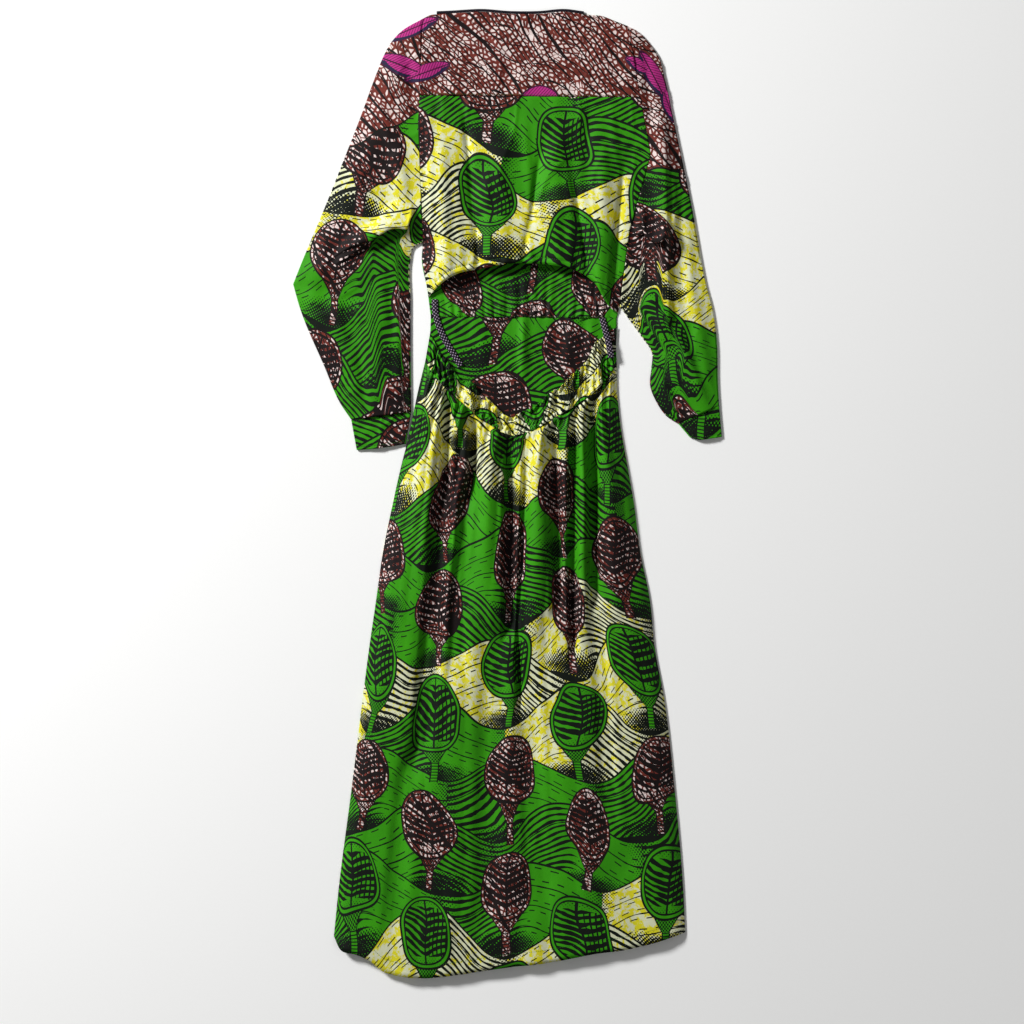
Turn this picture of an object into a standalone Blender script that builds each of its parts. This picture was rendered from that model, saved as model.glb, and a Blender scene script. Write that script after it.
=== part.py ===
"""A long-sleeved, ankle-length cotton dress with an open back, laid flat on its front.

Metres, +Z up. The origin is the middle of the outline on the surface it rests on, and +Y points to the neck.
The tables are in millimetres: `across` runs to the right from the middle line and `down` from the top of the
neck. Each sewn piece is an open surface, worked out from the tables and thickened by a Solidify modifier.
"""

import bpy
import numpy as np

# Driving sizes, in millimetres.
LENGTH = 1400.0
WALL = 1.2
SEAM = 0.3
ARMHOLE_SEAM = 0.5
LAYER_GAP = 0.3
SLEEVE_GAP = 0.8
EDGE_SOFTNESS = 34.0
BINDING_WIDTH = 9.0
NECK_BINDING_WIDTH = 4.0
GATHERS = 22
GATHER_HEIGHT = 2.0
GATHER_FADE = 45.0
FRONT_HEM_SHORTER = 3.0

MILLIMETRE = 0.001
COLLECTION = "Open-back dress"
CURVE_STEPS = 16
COLUMN_STEPS = 121

# Grid steps of each piece: across, then down. Pieces share the steps along a curved seam.
SHOULDER_STEPS = 3
NECK_STEPS = 18
TORSO_STEPS = 2 * SHOULDER_STEPS + NECK_STEPS
YOKE_ROWS = 6
ARMHOLE_ROWS = (4, 5, 5)
FRONT_LEFT_ROWS = (3, 5)
FRONT_RIGHT_ROWS = (3, 3, 3)
BODICE_END_ROWS = 2
WAIST_ROWS = 3
SKIRT_STEPS = (66, 16)
CASING_ROWS = 3
FRONT_SKIRT_STEPS = (10, 12)

# Outlines, as points of (across, down).
BACK_NECK = (
    (-101, 8),
    (-77, 7),
    (-37, 5),
    (4, 8),
    (44, 8),
    (85, 5),
    (109, 8),
)
FRONT_NECK = (
    (-101, 9),
    (-78, 17),
    (-45, 34),
    (4, 44),
    (53, 34),
    (86, 17),
    (109, 9),
)
LEFT_SHOULDER = ((-122, 14), (-111, 9))
RIGHT_SHOULDER = ((119, 9), (134, 10), (156, 18), (174, 25))
LEFT_ARMHOLE_TOP = (-122, 14)
LEFT_YOKE_END = (-127.2, 126)
LEFT_ARMHOLE_TURN = (-129, 165)
LEFT_UNDERARM = (-122, 338)
RIGHT_ARMHOLE_TOP = (174, 25)
RIGHT_YOKE_END = (192.4, 129)
RIGHT_ARMHOLE_TURN = (207, 212)
RIGHT_FLAP_END = (176, 322)
RIGHT_UNDERARM = (162, 430)
LEFT_WAIST = ((-122, 338), (-124, 360), (-116, 406), (-111, 445))
RIGHT_WAIST = ((162, 430), (160, 440), (158, 447))
ARCH_HEM = (
    (-114, 417),
    (-100, 402),
    (-76, 386),
    (-40, 377),
    (18, 369),
    (64, 372),
    (102, 381),
    (125, 397),
    (139, 420),
    (149, 433),
    (160, 440),
)
CASING_TOP = (
    (-112, 470),
    (-92, 503),
    (-70, 532),
    (-53, 541),
    (-41, 553),
    (-21, 571),
    (8, 587),
    (18, 581),
    (48, 567),
    (66, 552),
    (93, 533),
    (116, 503),
    (137, 472),
    (158, 460),
)
CASING_SEAM = (
    (-119, 510),
    (-98, 541),
    (-76, 560),
    (-54, 580),
    (-25, 602),
    (7, 617),
    (33, 611),
    (69, 591),
    (105, 570),
    (134, 546),
    (158, 515),
)
LEFT_CASING_END = ((-112, 470), (-116, 493), (-119, 510))
RIGHT_CASING_END = ((158, 460), (157, 493), (158, 515))
LEFT_SKIRT_SIDE = (
    (-119, 510),
    (-129, 551),
    (-144, 623),
    (-153, 658),
    (-166, 716),
    (-180, 785),
    (-190, 855),
    (-200, 924),
    (-209, 994),
    (-226, 1132),
    (-244, 1271),
    (-251, 1341),
)
RIGHT_SKIRT_SIDE = (
    (158, 515),
    (158, 537),
    (164, 606),
    (173, 658),
    (183, 716),
    (192, 785),
    (206, 855),
    (213, 924),
    (226, 994),
    (242, 1132),
    (254, 1271),
    (257, 1335),
)
HEM = (
    (-251, 1341),
    (-239, 1361),
    (-219, 1366),
    (-199, 1375),
    (-179, 1391),
    (-158, 1397),
    (-118, 1400),
    (-77, 1396),
    (-37, 1390),
    (4, 1384),
    (44, 1380),
    (85, 1373),
    (125, 1365),
    (166, 1360),
    (206, 1351),
    (257, 1335),
)
LEFT_SLEEVE_OUTER = (
    (-127, 16),
    (-154, 33),
    (-170, 51),
    (-179, 68),
    (-193, 103),
    (-212, 155),
    (-239, 224),
    (-267, 294),
    (-296, 363),
    (-310, 398),
)
LEFT_FOREARM_OUTER = ((-310, 398), (-301, 430), (-264, 519), (-242, 570), (-226, 594))
LEFT_FOREARM_INNER = (
    (-122, 338),
    (-136, 346),
    (-140, 363),
    (-140, 421),
    (-140, 493),
    (-139, 583),
)
LEFT_FLAP = (
    (-310, 398),
    (-276, 386),
    (-236, 366),
    (-202, 347),
    (-180, 327),
    (-165, 320),
    (-146, 322),
    (-122, 338),
)
LEFT_CUFF_TOP = ((-226, 594), (-139, 583))
LEFT_CUFF_END = ((-218, 638), (-182, 635), (-147, 629))
RIGHT_SLEEVE_OUTER = (
    (179, 28),
    (189, 33),
    (206, 51),
    (218, 68),
    (228, 103),
    (239, 155),
    (255, 230),
    (268, 294),
    (277, 346),
)
RIGHT_FOREARM_OUTER = (
    (277, 346),
    (287, 398),
    (296, 432),
    (303, 485),
    (304, 537),
    (306, 574),
)
RIGHT_FLAP = ((277, 346), (248, 352), (219, 347), (197, 336), (176, 322))
RIGHT_FOREARM_INNER = (
    (162, 430),
    (177, 451),
    (195, 476),
    (209, 498),
    (208, 519),
    (206, 544),
    (215, 568),
    (231, 590),
    (247, 600),
)
RIGHT_CUFF_TOP = ((306, 574), (247, 600))
RIGHT_CUFF_END = ((310, 619), (290, 622), (274, 623), (264, 620))
LEFT_BINDING = ((-105, 420), (-104, 440), (-100, 456), (-91, 477), (-78, 499), (-67, 517))
RIGHT_BINDING = ((137, 447), (141, 464), (146, 484), (150, 505))

# Heights of the upper layer over the lower one: down, height.
TORSO_RISE = (
    (0, 2.4),
    (60, 4.4),
    (126, 6.0),
    (250, 9.0),
    (330, 12.5),
    (385, 15.0),
    (450, 14.0),
)
SLEEVE_RISE = 6.0
CASING_RISE = (2.4, 8.0)
SKIRT_RISE = (
    (0, 8.0),
    (45, 13.0),
    (160, 15.0),
    (330, 13.5),
    (600, 11.0),
    (900, 8.5),
)

# Folds of the bodice and sleeves: start across and down, end across and down, height, width to each side.
UPPER_FOLDS = (
    (-96, 190, -86, 385, 6.0, 14, 12),
    (-62, 150, -40, 392, -5.0, 8, 10),
    (-12, 190, -6, 380, 5.0, 20, 18),
    (47, 215, 20, 384, -4.5, 7, 9),
    (70, 190, 72, 385, 5.5, 16, 15),
    (98, 262, 120, 400, -4.5, 7, 8),
    (138, 215, 134, 400, 5.0, 11, 11),
    (168, 235, 148, 430, -4.5, 7, 8),
    (-146, 62, -131, 160, -3.0, 9, 7),
    (-160, 190, -148, 280, 4.0, 14, 10),
    (-250, 300, -190, 340, 3.5, 16, 16),
    (-300, 398, -210, 425, -3.0, 9, 9),
    (-285, 372, -236, 380, 4.0, 12, 12),
    (-200, 440, -186, 560, 3.5, 16, 16),
    (-172, 380, -165, 470, -2.5, 7, 7),
    (201, 60, 206, 165, -3.0, 7, 9),
    (226, 165, 232, 470, 7.5, 15, 6),
    (250, 190, 252, 430, -3.0, 7, 9),
    (200, 400, 225, 470, 4.0, 14, 10),
    (238, 455, 285, 566, 5.5, 13, 7),
    (222, 520, 256, 585, -3.0, 7, 7),
    (272, 420, 292, 540, 2.5, 10, 9),
)

# Folds of the back skirt: start across and down, end across and down, share of the height, width to each side.
SKIRT_FOLDS = (
    (-90, 545, -92, 700, -0.80, 7, 9),
    (-94, 690, -131, 1090, -0.55, 12, 9),
    (-50, 580, -50, 690, -0.85, 6, 7),
    (-54, 680, -72, 960, -0.35, 12, 12),
    (-1, 600, -1, 905, -0.80, 7, 8),
    (24, 612, 14, 1010, -0.60, 8, 9),
    (67, 575, 70, 870, -0.75, 9, 7),
    (92, 560, 92, 930, -0.70, 7, 8),
    (127, 600, 126, 850, -0.90, 9, 8),
    (128, 830, 150, 1180, -0.30, 16, 14),
    (30, 960, 46, 1300, -0.30, 20, 18),
    (-20, 900, -34, 1330, -0.28, 22, 20),
    (-140, 1060, -170, 1340, -0.26, 16, 20),
    (-70, 960, -92, 1395, 0.22, 24, 24),
    (96, 930, 112, 1370, 0.24, 24, 24),
    (-116, 560, -124, 860, 0.30, 14, 12),
    (-70, 560, -70, 800, 0.35, 12, 12),
    (-26, 600, -28, 900, 0.35, 13, 13),
    (45, 590, 43, 900, 0.32, 12, 12),
    (110, 560, 110, 900, 0.25, 8, 8),
    (146, 570, 160, 880, 0.25, 12, 10),
)

# The flap under each arm, from the cap side to the forearm side: run along the sleeve, rise over it.
FLAP_PROFILE = (
    (-42, 1.5),
    (-27, 7.5),
    (-12, 12.0),
    (-1.5, 13.8),
    (4.0, 12.6),
    (4.2, 9.6),
    (-1.5, 8.0),
    (-13, 7.0),
    (-21, 5.9),
    (-24.5, 3.7),
    (-20.5, 1.6),
    (-9, 0.8),
    (5, 0.3),
    (20, 0.0),
)

# How much of the flap there is across a sleeve: share from the outer edge, share of the flap.
LEFT_FLAP_SHARE = (
    (0, 0),
    (0.22, 0),
    (0.36, 0.3),
    (0.45, 0.5),
    (0.63, 0.85),
    (0.72, 1),
    (0.8, 1),
    (0.88, 0.6),
    (0.96, 0.15),
    (1, 0),
)
RIGHT_FLAP_SHARE = (
    (0, 0),
    (0.3, 0),
    (0.38, 0.2),
    (0.48, 0.55),
    (0.62, 0.85),
    (0.7, 0.85),
    (0.82, 0.55),
    (0.94, 0.15),
    (1, 0),
)
LEFT_COLUMNS = (0, 0.09, 0.18, 0.27, 0.36, 0.45, 0.54, 0.63, 0.72, 0.8, 0.84, 0.88, 0.92, 0.96, 1)
RIGHT_COLUMNS = (0, 0.1, 0.2, 0.3, 0.38, 0.43, 0.48, 0.54, 0.62, 0.7, 0.76, 0.82, 0.88, 0.94, 1)
LOWER_COLUMNS = (0, 0.25, 0.5, 0.75, 1)
CAP_ROWS = 6
FOREARM_ROWS = 9
EDGE_TURN = (45, 90, 135)


def smooth(value):
    """Rises softly from 0 to 1: 3 v^2 - 2 v^3."""
    value = np.clip(value, 0, 1)
    return value * value * (3 - 2 * value)


def join(*lines):
    """One line through several, each starting where the last one ends."""
    points = list(lines[0])
    for line in lines[1:]:
        points.extend(line[1:] if tuple(line[0]) == tuple(points[-1]) else line)
    return tuple(points)


def dense(points):
    """The smooth curve through the points: cubic pieces whose slopes come from the neighbours."""
    points = np.array(points, float)
    spans = np.linalg.norm(np.diff(points, axis=0), axis=1)
    slopes = np.diff(points, axis=0) / spans[:, None]
    tangents = np.empty_like(points)
    tangents[0] = slopes[0]
    tangents[-1] = slopes[-1]
    before = spans[:-1, None]
    after = spans[1:, None]
    tangents[1:-1] = (slopes[:-1] * after + slopes[1:] * before) / (before + after)
    step = np.linspace(0, 1, CURVE_STEPS, endpoint=False)[None, :, None]
    start = points[:-1, None]
    end = points[1:, None]
    leave = tangents[:-1, None] * spans[:, None, None]
    arrive = tangents[1:, None] * spans[:, None, None]
    curve = (
        (2 * step**3 - 3 * step**2 + 1) * start
        + (step**3 - 2 * step**2 + step) * leave
        + (3 * step**2 - 2 * step**3) * end
        + (step**3 - step**2) * arrive
    )
    return np.concatenate([curve.reshape(-1, 2), points[-1:]])


def along(curve, share):
    """Points of a dense curve at these shares of its length."""
    travelled = np.concatenate([[0], np.cumsum(np.linalg.norm(np.diff(curve, axis=0), axis=1))])
    share = np.asarray(share, float) * travelled[-1]
    return np.stack([np.interp(share, travelled, curve[:, i]) for i in range(2)], -1)


def spread(points, steps):
    """The smooth curve through the points, cut into this many equal steps."""
    return along(dense(points), np.linspace(0, 1, steps + 1))


def runs(marks, steps):
    """Straight runs from mark to mark, each cut into its own number of steps."""
    pieces = [spread((marks[i], marks[i + 1]), steps[i]) for i in range(len(steps))]
    return chain(*pieces)


def chain(*lines):
    """One edge from several, each starting where the last one ends."""
    return np.concatenate([lines[0]] + [line[1:] for line in lines[1:]])


def moved(curve, by):
    """The curve moved sideways, to the right of its direction on the page."""
    curve = np.array(curve, float)
    direction = np.gradient(curve, axis=0)
    direction /= np.linalg.norm(direction, axis=1, keepdims=True)
    return curve + by * np.stack([-direction[:, 1], direction[:, 0]], -1)


def patch(top, bottom, left, right, u, v):
    """A Coons patch: the surface that runs between four edge curves. u goes across, v down."""
    u = np.asarray(u, float)[..., None]
    v = np.asarray(v, float)[..., None]
    across = (1 - v) * along(top, u[..., 0]) + v * along(bottom, u[..., 0])
    down = (1 - u) * along(left, v[..., 0]) + u * along(right, v[..., 0])
    return across + down - corner_blend(top, bottom, u, v)


def corner_blend(top, bottom, u, v):
    """The flat blend of the four corners of a patch."""
    upper = (1 - u) * top[0] + u * top[-1]
    lower = (1 - u) * bottom[0] + u * bottom[-1]
    return (1 - v) * upper + v * lower


def grid_patch(top, bottom, left, right):
    """The Coons patch whose edge points are given one by one, so that neighbours can share them."""
    top, bottom, left, right = trimmed(top, bottom, left, right)
    u = np.linspace(0, 1, len(top))[None, :, None]
    v = np.linspace(0, 1, len(left))[:, None, None]
    across = (1 - v) * top[None] + v * bottom[None]
    down = (1 - u) * left[:, None] + u * right[:, None]
    return across + down - corner_blend(top, bottom, u, v)


def trimmed(top, bottom, left, right):
    """Four edges whose ends meet at shared corners."""
    edges = [np.array(edge, float) for edge in (top, bottom, left, right)]
    pairs = ((0, 0, 2, 0), (0, -1, 3, 0), (1, 0, 2, -1), (1, -1, 3, -1))
    for first, first_end, second, second_end in pairs:
        corner = (edges[first][first_end] + edges[second][second_end]) / 2
        edges[first][first_end] = corner
        edges[second][second_end] = corner
    return edges


# The outer edge of the garment, from the left neck corner round to the right one.
OUTLINE = dense(
    join(
        ((-101, 4),),
        LEFT_SLEEVE_OUTER,
        LEFT_FOREARM_OUTER,
        LEFT_CUFF_END,
        LEFT_FOREARM_INNER[::-1],
        LEFT_WAIST,
        LEFT_CASING_END,
        LEFT_SKIRT_SIDE,
    )
)
OUTLINE_RIGHT = dense(
    join(
        ((109, 4),),
        RIGHT_SLEEVE_OUTER,
        RIGHT_FOREARM_OUTER,
        RIGHT_CUFF_END,
        RIGHT_FOREARM_INNER[::-1],
        RIGHT_WAIST,
        RIGHT_CASING_END,
        RIGHT_SKIRT_SIDE,
    )
)


def edge_share(points):
    """0 on the outer edge, rising to 1 at EDGE_SOFTNESS from it."""
    flat = points.reshape(-1, 2)
    nearest = np.full(len(flat), 1e9)
    for line in (OUTLINE, OUTLINE_RIGHT):
        start = line[:-1]
        run = line[1:] - start
        length = np.maximum((run**2).sum(1), 1e-9)
        offset = flat[:, None] - start[None]
        share = np.clip((offset * run).sum(-1) / length, 0, 1)
        gap = np.linalg.norm(offset - share[..., None] * run, axis=-1).min(1)
        nearest = np.minimum(nearest, gap)
    share = np.clip(nearest / EDGE_SOFTNESS, 0, 1)
    return np.sin(share * np.pi / 2).reshape(points.shape[:-1])


def folds(points, table):
    """The sum of the folds in a table: each a soft ridge along its line, lower towards both ends."""
    total = np.zeros(points.shape[:-1])
    for start_x, start_y, end_x, end_y, height, left, right in table:
        start = np.array([start_x, start_y], float)
        run = np.array([end_x, end_y], float) - start
        length = np.linalg.norm(run)
        run = run / length
        offset = points - start
        travelled = offset @ run
        beside = offset[..., 1] * run[0] - offset[..., 0] * run[1]
        width = np.where(beside > 0, left, right)
        fade = smooth((travelled + 30) / 60) * smooth((length + 30 - travelled) / 60)
        total += height * fade * np.exp(-((beside / width) ** 2))
    return total


def read_table(table, value):
    """The second column of a table at this value of the first."""
    rows = np.array(table, float)
    return np.interp(value, rows[:, 0], rows[:, 1])


def upper_height(points):
    """Height of the under side of the back layer, from the neck to the arch and over both sleeves."""
    sideways = np.abs(points[..., 0] - 18)
    sleeve = smooth((sideways - 112) / 55)
    rise = read_table(TORSO_RISE, points[..., 1]) * (1 - sleeve) + SLEEVE_RISE * sleeve
    rise = np.maximum(rise + folds(points, UPPER_FOLDS), 0.6)
    return WALL + LAYER_GAP + edge_share(points) * rise


def gather(u, fade):
    """Small gathers across the waist, uneven in height and spacing."""
    phase = 2 * np.pi * (GATHERS * u + 0.35 * np.sin(9.1 * u + 0.6) + 0.2 * np.sin(23 * u))
    size = 0.72 + 0.28 * np.sin(31 * u + 1.1)
    return GATHER_HEIGHT * fade * size * (1 + np.sin(phase)) / 2


def casing_height(points, u, v):
    """Height of the under side of the elastic casing, lying low at its free edge."""
    ends = smooth(u / 0.1) * smooth((1 - u) / 0.1)
    rise = CASING_RISE[0] + (CASING_RISE[1] - CASING_RISE[0]) * v * v
    rise = rise + 1.2 * gather(u, 0.6 + 0.4 * v) * ends
    return WALL + LAYER_GAP + edge_share(points) * rise


def skirt_height(points, u, seam_distance):
    """Height of the under side of the back skirt."""
    ends = smooth(u / 0.1) * smooth((1 - u) / 0.1)
    fullness = np.maximum(1 + folds(points, SKIRT_FOLDS), 0.06)
    settle = smooth(seam_distance / 60)
    fullness = 1 + settle * (fullness - 1)
    rise = read_table(SKIRT_RISE, seam_distance) * fullness
    rise = rise + 1.2 * gather(u, np.exp(-seam_distance / GATHER_FADE)) * ends
    return WALL + LAYER_GAP + edge_share(points) * rise


def world(points, height):
    """Page millimetres and height to metres."""
    across = points[..., 0]
    up = LENGTH / 2 - points[..., 1]
    return np.stack([across, up, height], -1) * MILLIMETRE


def cloth_colour(name, colour, roughness):
    """A plain material for one piece."""
    material = bpy.data.materials.new(name)
    material.use_nodes = True
    shader = material.node_tree.nodes["Principled BSDF"]
    shader.inputs["Base Color"].default_value = (*colour, 1)
    shader.inputs["Roughness"].default_value = roughness
    shader.inputs["Metallic"].default_value = 0
    return material


def sew(name, vertices, faces, colour, offset, collection):
    """Makes the open surface an object and gives it its thickness."""
    mesh = bpy.data.meshes.new(name)
    mesh.from_pydata(vertices.tolist(), [], faces.tolist())
    mesh.update()
    mesh.shade_smooth()
    piece = bpy.data.objects.new(name, mesh)
    collection.objects.link(piece)
    mesh.materials.append(cloth_colour(name, colour, 0.85))
    wall = piece.modifiers.new("Cloth", "SOLIDIFY")
    wall.thickness = WALL * MILLIMETRE
    wall.offset = offset
    wall.use_even_offset = False
    wall.use_rim = True
    return piece


def grid_faces(columns, rows):
    """Four-sided faces of a grid, facing up for points that run right and then down the page."""
    index = np.arange(columns * rows).reshape(rows, columns)
    quads = [index[:-1, :-1], index[1:, :-1], index[1:, 1:], index[:-1, 1:]]
    return np.stack(quads, -1).reshape(-1, 4)


def panel(name, points, height, colour, collection):
    """A panel whose under side has this height."""
    rows, columns = height.shape
    vertices = world(points, height).reshape(-1, 3)
    return sew(name, vertices, grid_faces(columns, rows), colour, 1, collection)


def flat_panel(name, edges, colour, collection):
    """A panel of the front, flat on the surface."""
    points = grid_patch(*edges)
    return panel(name, points, np.zeros(points.shape[:2]), colour, collection)


def at_distance(column, travelled, distance):
    """The point of one column of a sleeve at this distance along it from the flap line."""
    return np.stack([np.interp(distance, travelled, column[:, i]) for i in range(2)], -1)


def sleeve_columns(cap, forearm, shares, steps=COLUMN_STEPS):
    """Lines down the sleeve at these shares across it, with their distances from the flap line."""
    v = np.linspace(0, 1, steps)
    lines = []
    for share in shares:
        u = np.full(steps, share)
        above = patch(*cap, u, v)
        below = patch(*forearm, u, v)
        above_run = np.concatenate([[0], np.cumsum(np.linalg.norm(np.diff(above, axis=0), axis=1))])
        below_run = np.concatenate([[0], np.cumsum(np.linalg.norm(np.diff(below, axis=0), axis=1))])
        line = np.concatenate([above[:-1], below])
        travelled = np.concatenate([above_run[:-1] - above_run[-1], below_run])
        lines.append((line, travelled))
    return lines


def away_from(edge, neighbour):
    """Unit directions square to an edge line, on the side away from the line of points beside it."""
    direction = np.gradient(edge, axis=0)
    direction /= np.linalg.norm(direction, axis=1, keepdims=True)
    across = np.stack([-direction[:, 1], direction[:, 0]], -1)
    side = np.sign(((edge - neighbour) * across).sum(1, keepdims=True))
    return across * side


def sleeve(name, cap, forearm, shares, flap_share, turn_rows, open_length, colour, collection):
    """A sleeve laid flat: a tube that is open along the armhole, with the flap in its upper layer.

    Its ring of columns runs over the upper layer from the inner edge to the outer one, round that edge, back
    under the arm and round the inner edge, which is closed only from open_length past the flap line. The
    first turn_rows rows reach to the turn of the armhole, so that a row ends on it.
    """
    profile = np.array(FLAP_PROFILE, float)
    plain = np.linspace(profile[0, 0], profile[-1, 0], len(profile))
    armhole = cap[3]
    past_turn = np.linalg.norm(armhole[-1] - armhole[1]) + plain[0]
    to_turn = np.linalg.norm(armhole[1] - armhole[0])
    turn_share = to_turn / (to_turn + past_turn)
    rows_after = CAP_ROWS - turn_rows
    first = np.linspace(0, turn_share, turn_rows, endpoint=False)
    second = np.linspace(turn_share, 1, rows_after, endpoint=False)
    cap_share = np.concatenate([first, second])
    turn = (2 * WALL + SLEEVE_GAP) / 2
    upper_rows = []
    for share, (line, travelled) in zip(shares, sleeve_columns(cap, forearm, shares)):
        amount = read_table(flap_share, share)
        forward = 0.8 * smooth((amount - 0.4) / 0.6)
        lifted = smooth(amount / 0.6)
        before = travelled[0] + cap_share * (plain[0] - travelled[0])
        after = np.linspace(plain[-1], travelled[-1], FOREARM_ROWS + 1)[1:]
        middle = plain + forward * (profile[:, 0] - plain)
        distance = np.concatenate([before, middle, after])
        rise = np.concatenate([0 * before, lifted * profile[:, 1], 0 * after])
        points = at_distance(line, travelled, distance)
        under = np.maximum(upper_height(points), WALL + SLEEVE_GAP)
        upper_rows.append((points, under + WALL + rise))
    upper = np.stack([row[0] for row in upper_rows], 1)
    upper_top = np.stack([row[1] for row in upper_rows], 1)
    count = len(upper)
    lower = np.empty((count, len(LOWER_COLUMNS), 2))
    for i, (line, travelled) in enumerate(sleeve_columns(cap, forearm, LOWER_COLUMNS)):
        before = travelled[0] + cap_share * (plain[0] - travelled[0])
        after = np.linspace(plain[-1], travelled[-1], FOREARM_ROWS + 1)[1:]
        distance = np.concatenate([before, plain, after])
        lower[:, i] = at_distance(line, travelled, distance)
    closed_from = int(np.searchsorted(distance, open_length - 4))
    outward = away_from(upper[:, 0], upper[:, 1])
    inward = away_from(upper[:, -1], upper[:, -2])
    # The layers stop short of a closed edge by the radius of its turn.
    upper[:, 0] -= turn * outward
    lower[:, 0] -= turn * outward
    closed = np.zeros((count, 1))
    closed[closed_from:] = 1
    upper[:, -1] -= turn * inward * closed
    lower[:, -1] -= turn * inward * closed
    parts = [world(upper[:, ::-1], upper_top[:, ::-1])]
    for angle in np.radians(EDGE_TURN):
        edge = upper[:, 0] + turn * np.sin(angle) * outward
        height = upper_top[:, 0] * (1 + np.cos(angle)) / 2
        parts.append(world(edge, height)[:, None])
    parts.append(world(lower, np.zeros(lower.shape[:2])))
    for angle in np.radians(EDGE_TURN[::-1]):
        edge = upper[:, -1] + turn * np.sin(angle) * inward
        height = upper_top[:, -1] * (1 + np.cos(angle)) / 2
        parts.append(world(edge, height)[:, None])
    ring = np.concatenate(parts, 1)
    columns = ring.shape[1]
    index = np.arange(count * columns).reshape(count, columns)
    around = np.concatenate([index, index[:, :1]], 1)
    quads = np.stack([around[:-1, :-1], around[:-1, 1:], around[1:, 1:], around[1:, :-1]], -1)
    kept = np.ones(quads.shape[:2], bool)
    kept[:closed_from, columns - len(EDGE_TURN) - 1 :] = False
    faces = quads[kept]
    if upper[-1, 0, 0] > upper[-1, -1, 0]:
        faces = faces[:, ::-1]
    used = np.unique(faces)
    renumber = np.zeros(count * columns, int)
    renumber[used] = np.arange(len(used))
    return sew(name, ring.reshape(-1, 3)[used], renumber[faces], colour, -1, collection)


def cuff(name, top, end, rise, colour, collection):
    """A flattened band: a short tube from the end of the sleeve to its hem. The edges run from outer to inner."""
    rows = np.linspace(0, 1, 4)[:, None, None]
    turn = (2 * WALL + SLEEVE_GAP) / 2
    upper_share = np.linspace(0, 1, 8)
    lower_share = np.linspace(0, 1, 4)
    upper = (1 - rows) * along(dense(top), upper_share) + rows * along(dense(end), upper_share)
    lower = (1 - rows) * along(dense(top), lower_share) + rows * along(dense(end), lower_share)
    across = upper[:, -1] - upper[:, 0]
    across /= np.linalg.norm(across, axis=1, keepdims=True)
    for layer in (upper, lower):
        layer[:, 0] += turn * across
        layer[:, -1] -= turn * across
    height = 2 * turn + rise * np.sin(np.pi * upper_share)[None] * np.ones((4, 1))
    parts = [world(upper[:, ::-1], height[:, ::-1])]
    for angle in np.radians(EDGE_TURN):
        edge = upper[:, 0] - turn * np.sin(angle) * across
        parts.append(world(edge, np.full(4, turn * (1 + np.cos(angle))))[:, None])
    parts.append(world(lower, np.zeros(lower.shape[:2])))
    for angle in np.radians(EDGE_TURN[::-1]):
        edge = upper[:, -1] + turn * np.sin(angle) * across
        parts.append(world(edge, np.full(4, turn * (1 + np.cos(angle))))[:, None])
    ring = np.concatenate(parts, 1)
    count, columns = ring.shape[:2]
    index = np.arange(count * columns).reshape(count, columns)
    around = np.concatenate([index, index[:, :1]], 1)
    quads = np.stack([around[:-1, :-1], around[:-1, 1:], around[1:, 1:], around[1:, :-1]], -1)
    quads = quads.reshape(-1, 4)
    if upper[-1, 0, 0] > upper[-1, -1, 0]:
        quads = quads[:, ::-1]
    return sew(name, ring.reshape(-1, 3), quads, colour, -1, collection)


def height_over(points, under_points, under_height):
    """Height just over another piece: its highest top within reach of each point, or the front's if none is."""
    reach = 11.0
    flat = points.reshape(-1, 1, 2)
    near = np.linalg.norm(flat - under_points.reshape(1, -1, 2), axis=-1) < reach
    top = np.where(near, under_height.reshape(1, -1), 0).max(1) + WALL + LAYER_GAP
    return np.maximum(top, WALL + LAYER_GAP).reshape(points.shape[:-1])


def ribbon(name, path, width, height, colour, collection):
    """A narrow flat strip along a path, at this height over the surface."""
    count = 16
    centre = along(dense(path), np.linspace(0, 1, count))
    direction = np.gradient(centre, axis=0)
    direction /= np.linalg.norm(direction, axis=1, keepdims=True)
    side = np.stack([-direction[:, 1], direction[:, 0]], -1)
    points = centre[:, None] + side[:, None] * np.array([0.5, -0.5])[:, None] * width
    vertices = world(points, np.broadcast_to(height(centre)[:, None], points.shape[:2]))
    return sew(name, vertices.reshape(-1, 3), grid_faces(2, count), colour, 1, collection)


def neck_ring(name, colour, collection):
    """The binding round the neck: a flattened loop, over the yoke's edge at the back and under it in front."""
    share = np.linspace(0, 1, NECK_STEPS + 1)
    lift = np.array([0, NECK_BINDING_WIDTH / 2 + SEAM])
    back = spread(BACK_NECK, NECK_STEPS) - lift
    front = spread(FRONT_NECK, NECK_STEPS) - lift
    back_height = upper_height(back) + WALL / 2
    low = 3.3
    middle_share = np.sin(np.pi * share) ** 0.5
    back_height = low + (np.maximum(back_height, low) - low) * middle_share
    front_height = np.full(len(share), WALL / 2)
    radius = (low - WALL / 2) / 2
    middle = (low + WALL / 2) / 2
    turn = np.radians([45, 90, 135])
    right_end = np.stack([back[-1, 0] + radius * np.sin(turn), np.full(3, back[-1, 1])], -1)
    left_end = np.stack([back[0, 0] - radius * np.sin(turn), np.full(3, back[0, 1])], -1)
    front[[0, -1]] = back[[0, -1]]
    centre = np.concatenate([back, right_end, front[::-1], left_end])
    heights = [back_height, middle + radius * np.cos(turn), front_height, middle - radius * np.cos(turn)]
    height = np.concatenate(heights)
    half = np.array([0, NECK_BINDING_WIDTH / 2])
    points = np.stack([centre - half, centre + half], 1)
    vertices = world(points, np.repeat(height[:, None], 2, 1))
    count = len(centre)
    index = np.arange(count * 2).reshape(count, 2)
    after = np.roll(index, -1, 0)
    faces = np.stack([index[:, 0], index[:, 1], after[:, 1], after[:, 0]], -1)
    return sew(name, vertices.reshape(-1, 3), faces, colour, 0, collection)


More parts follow.
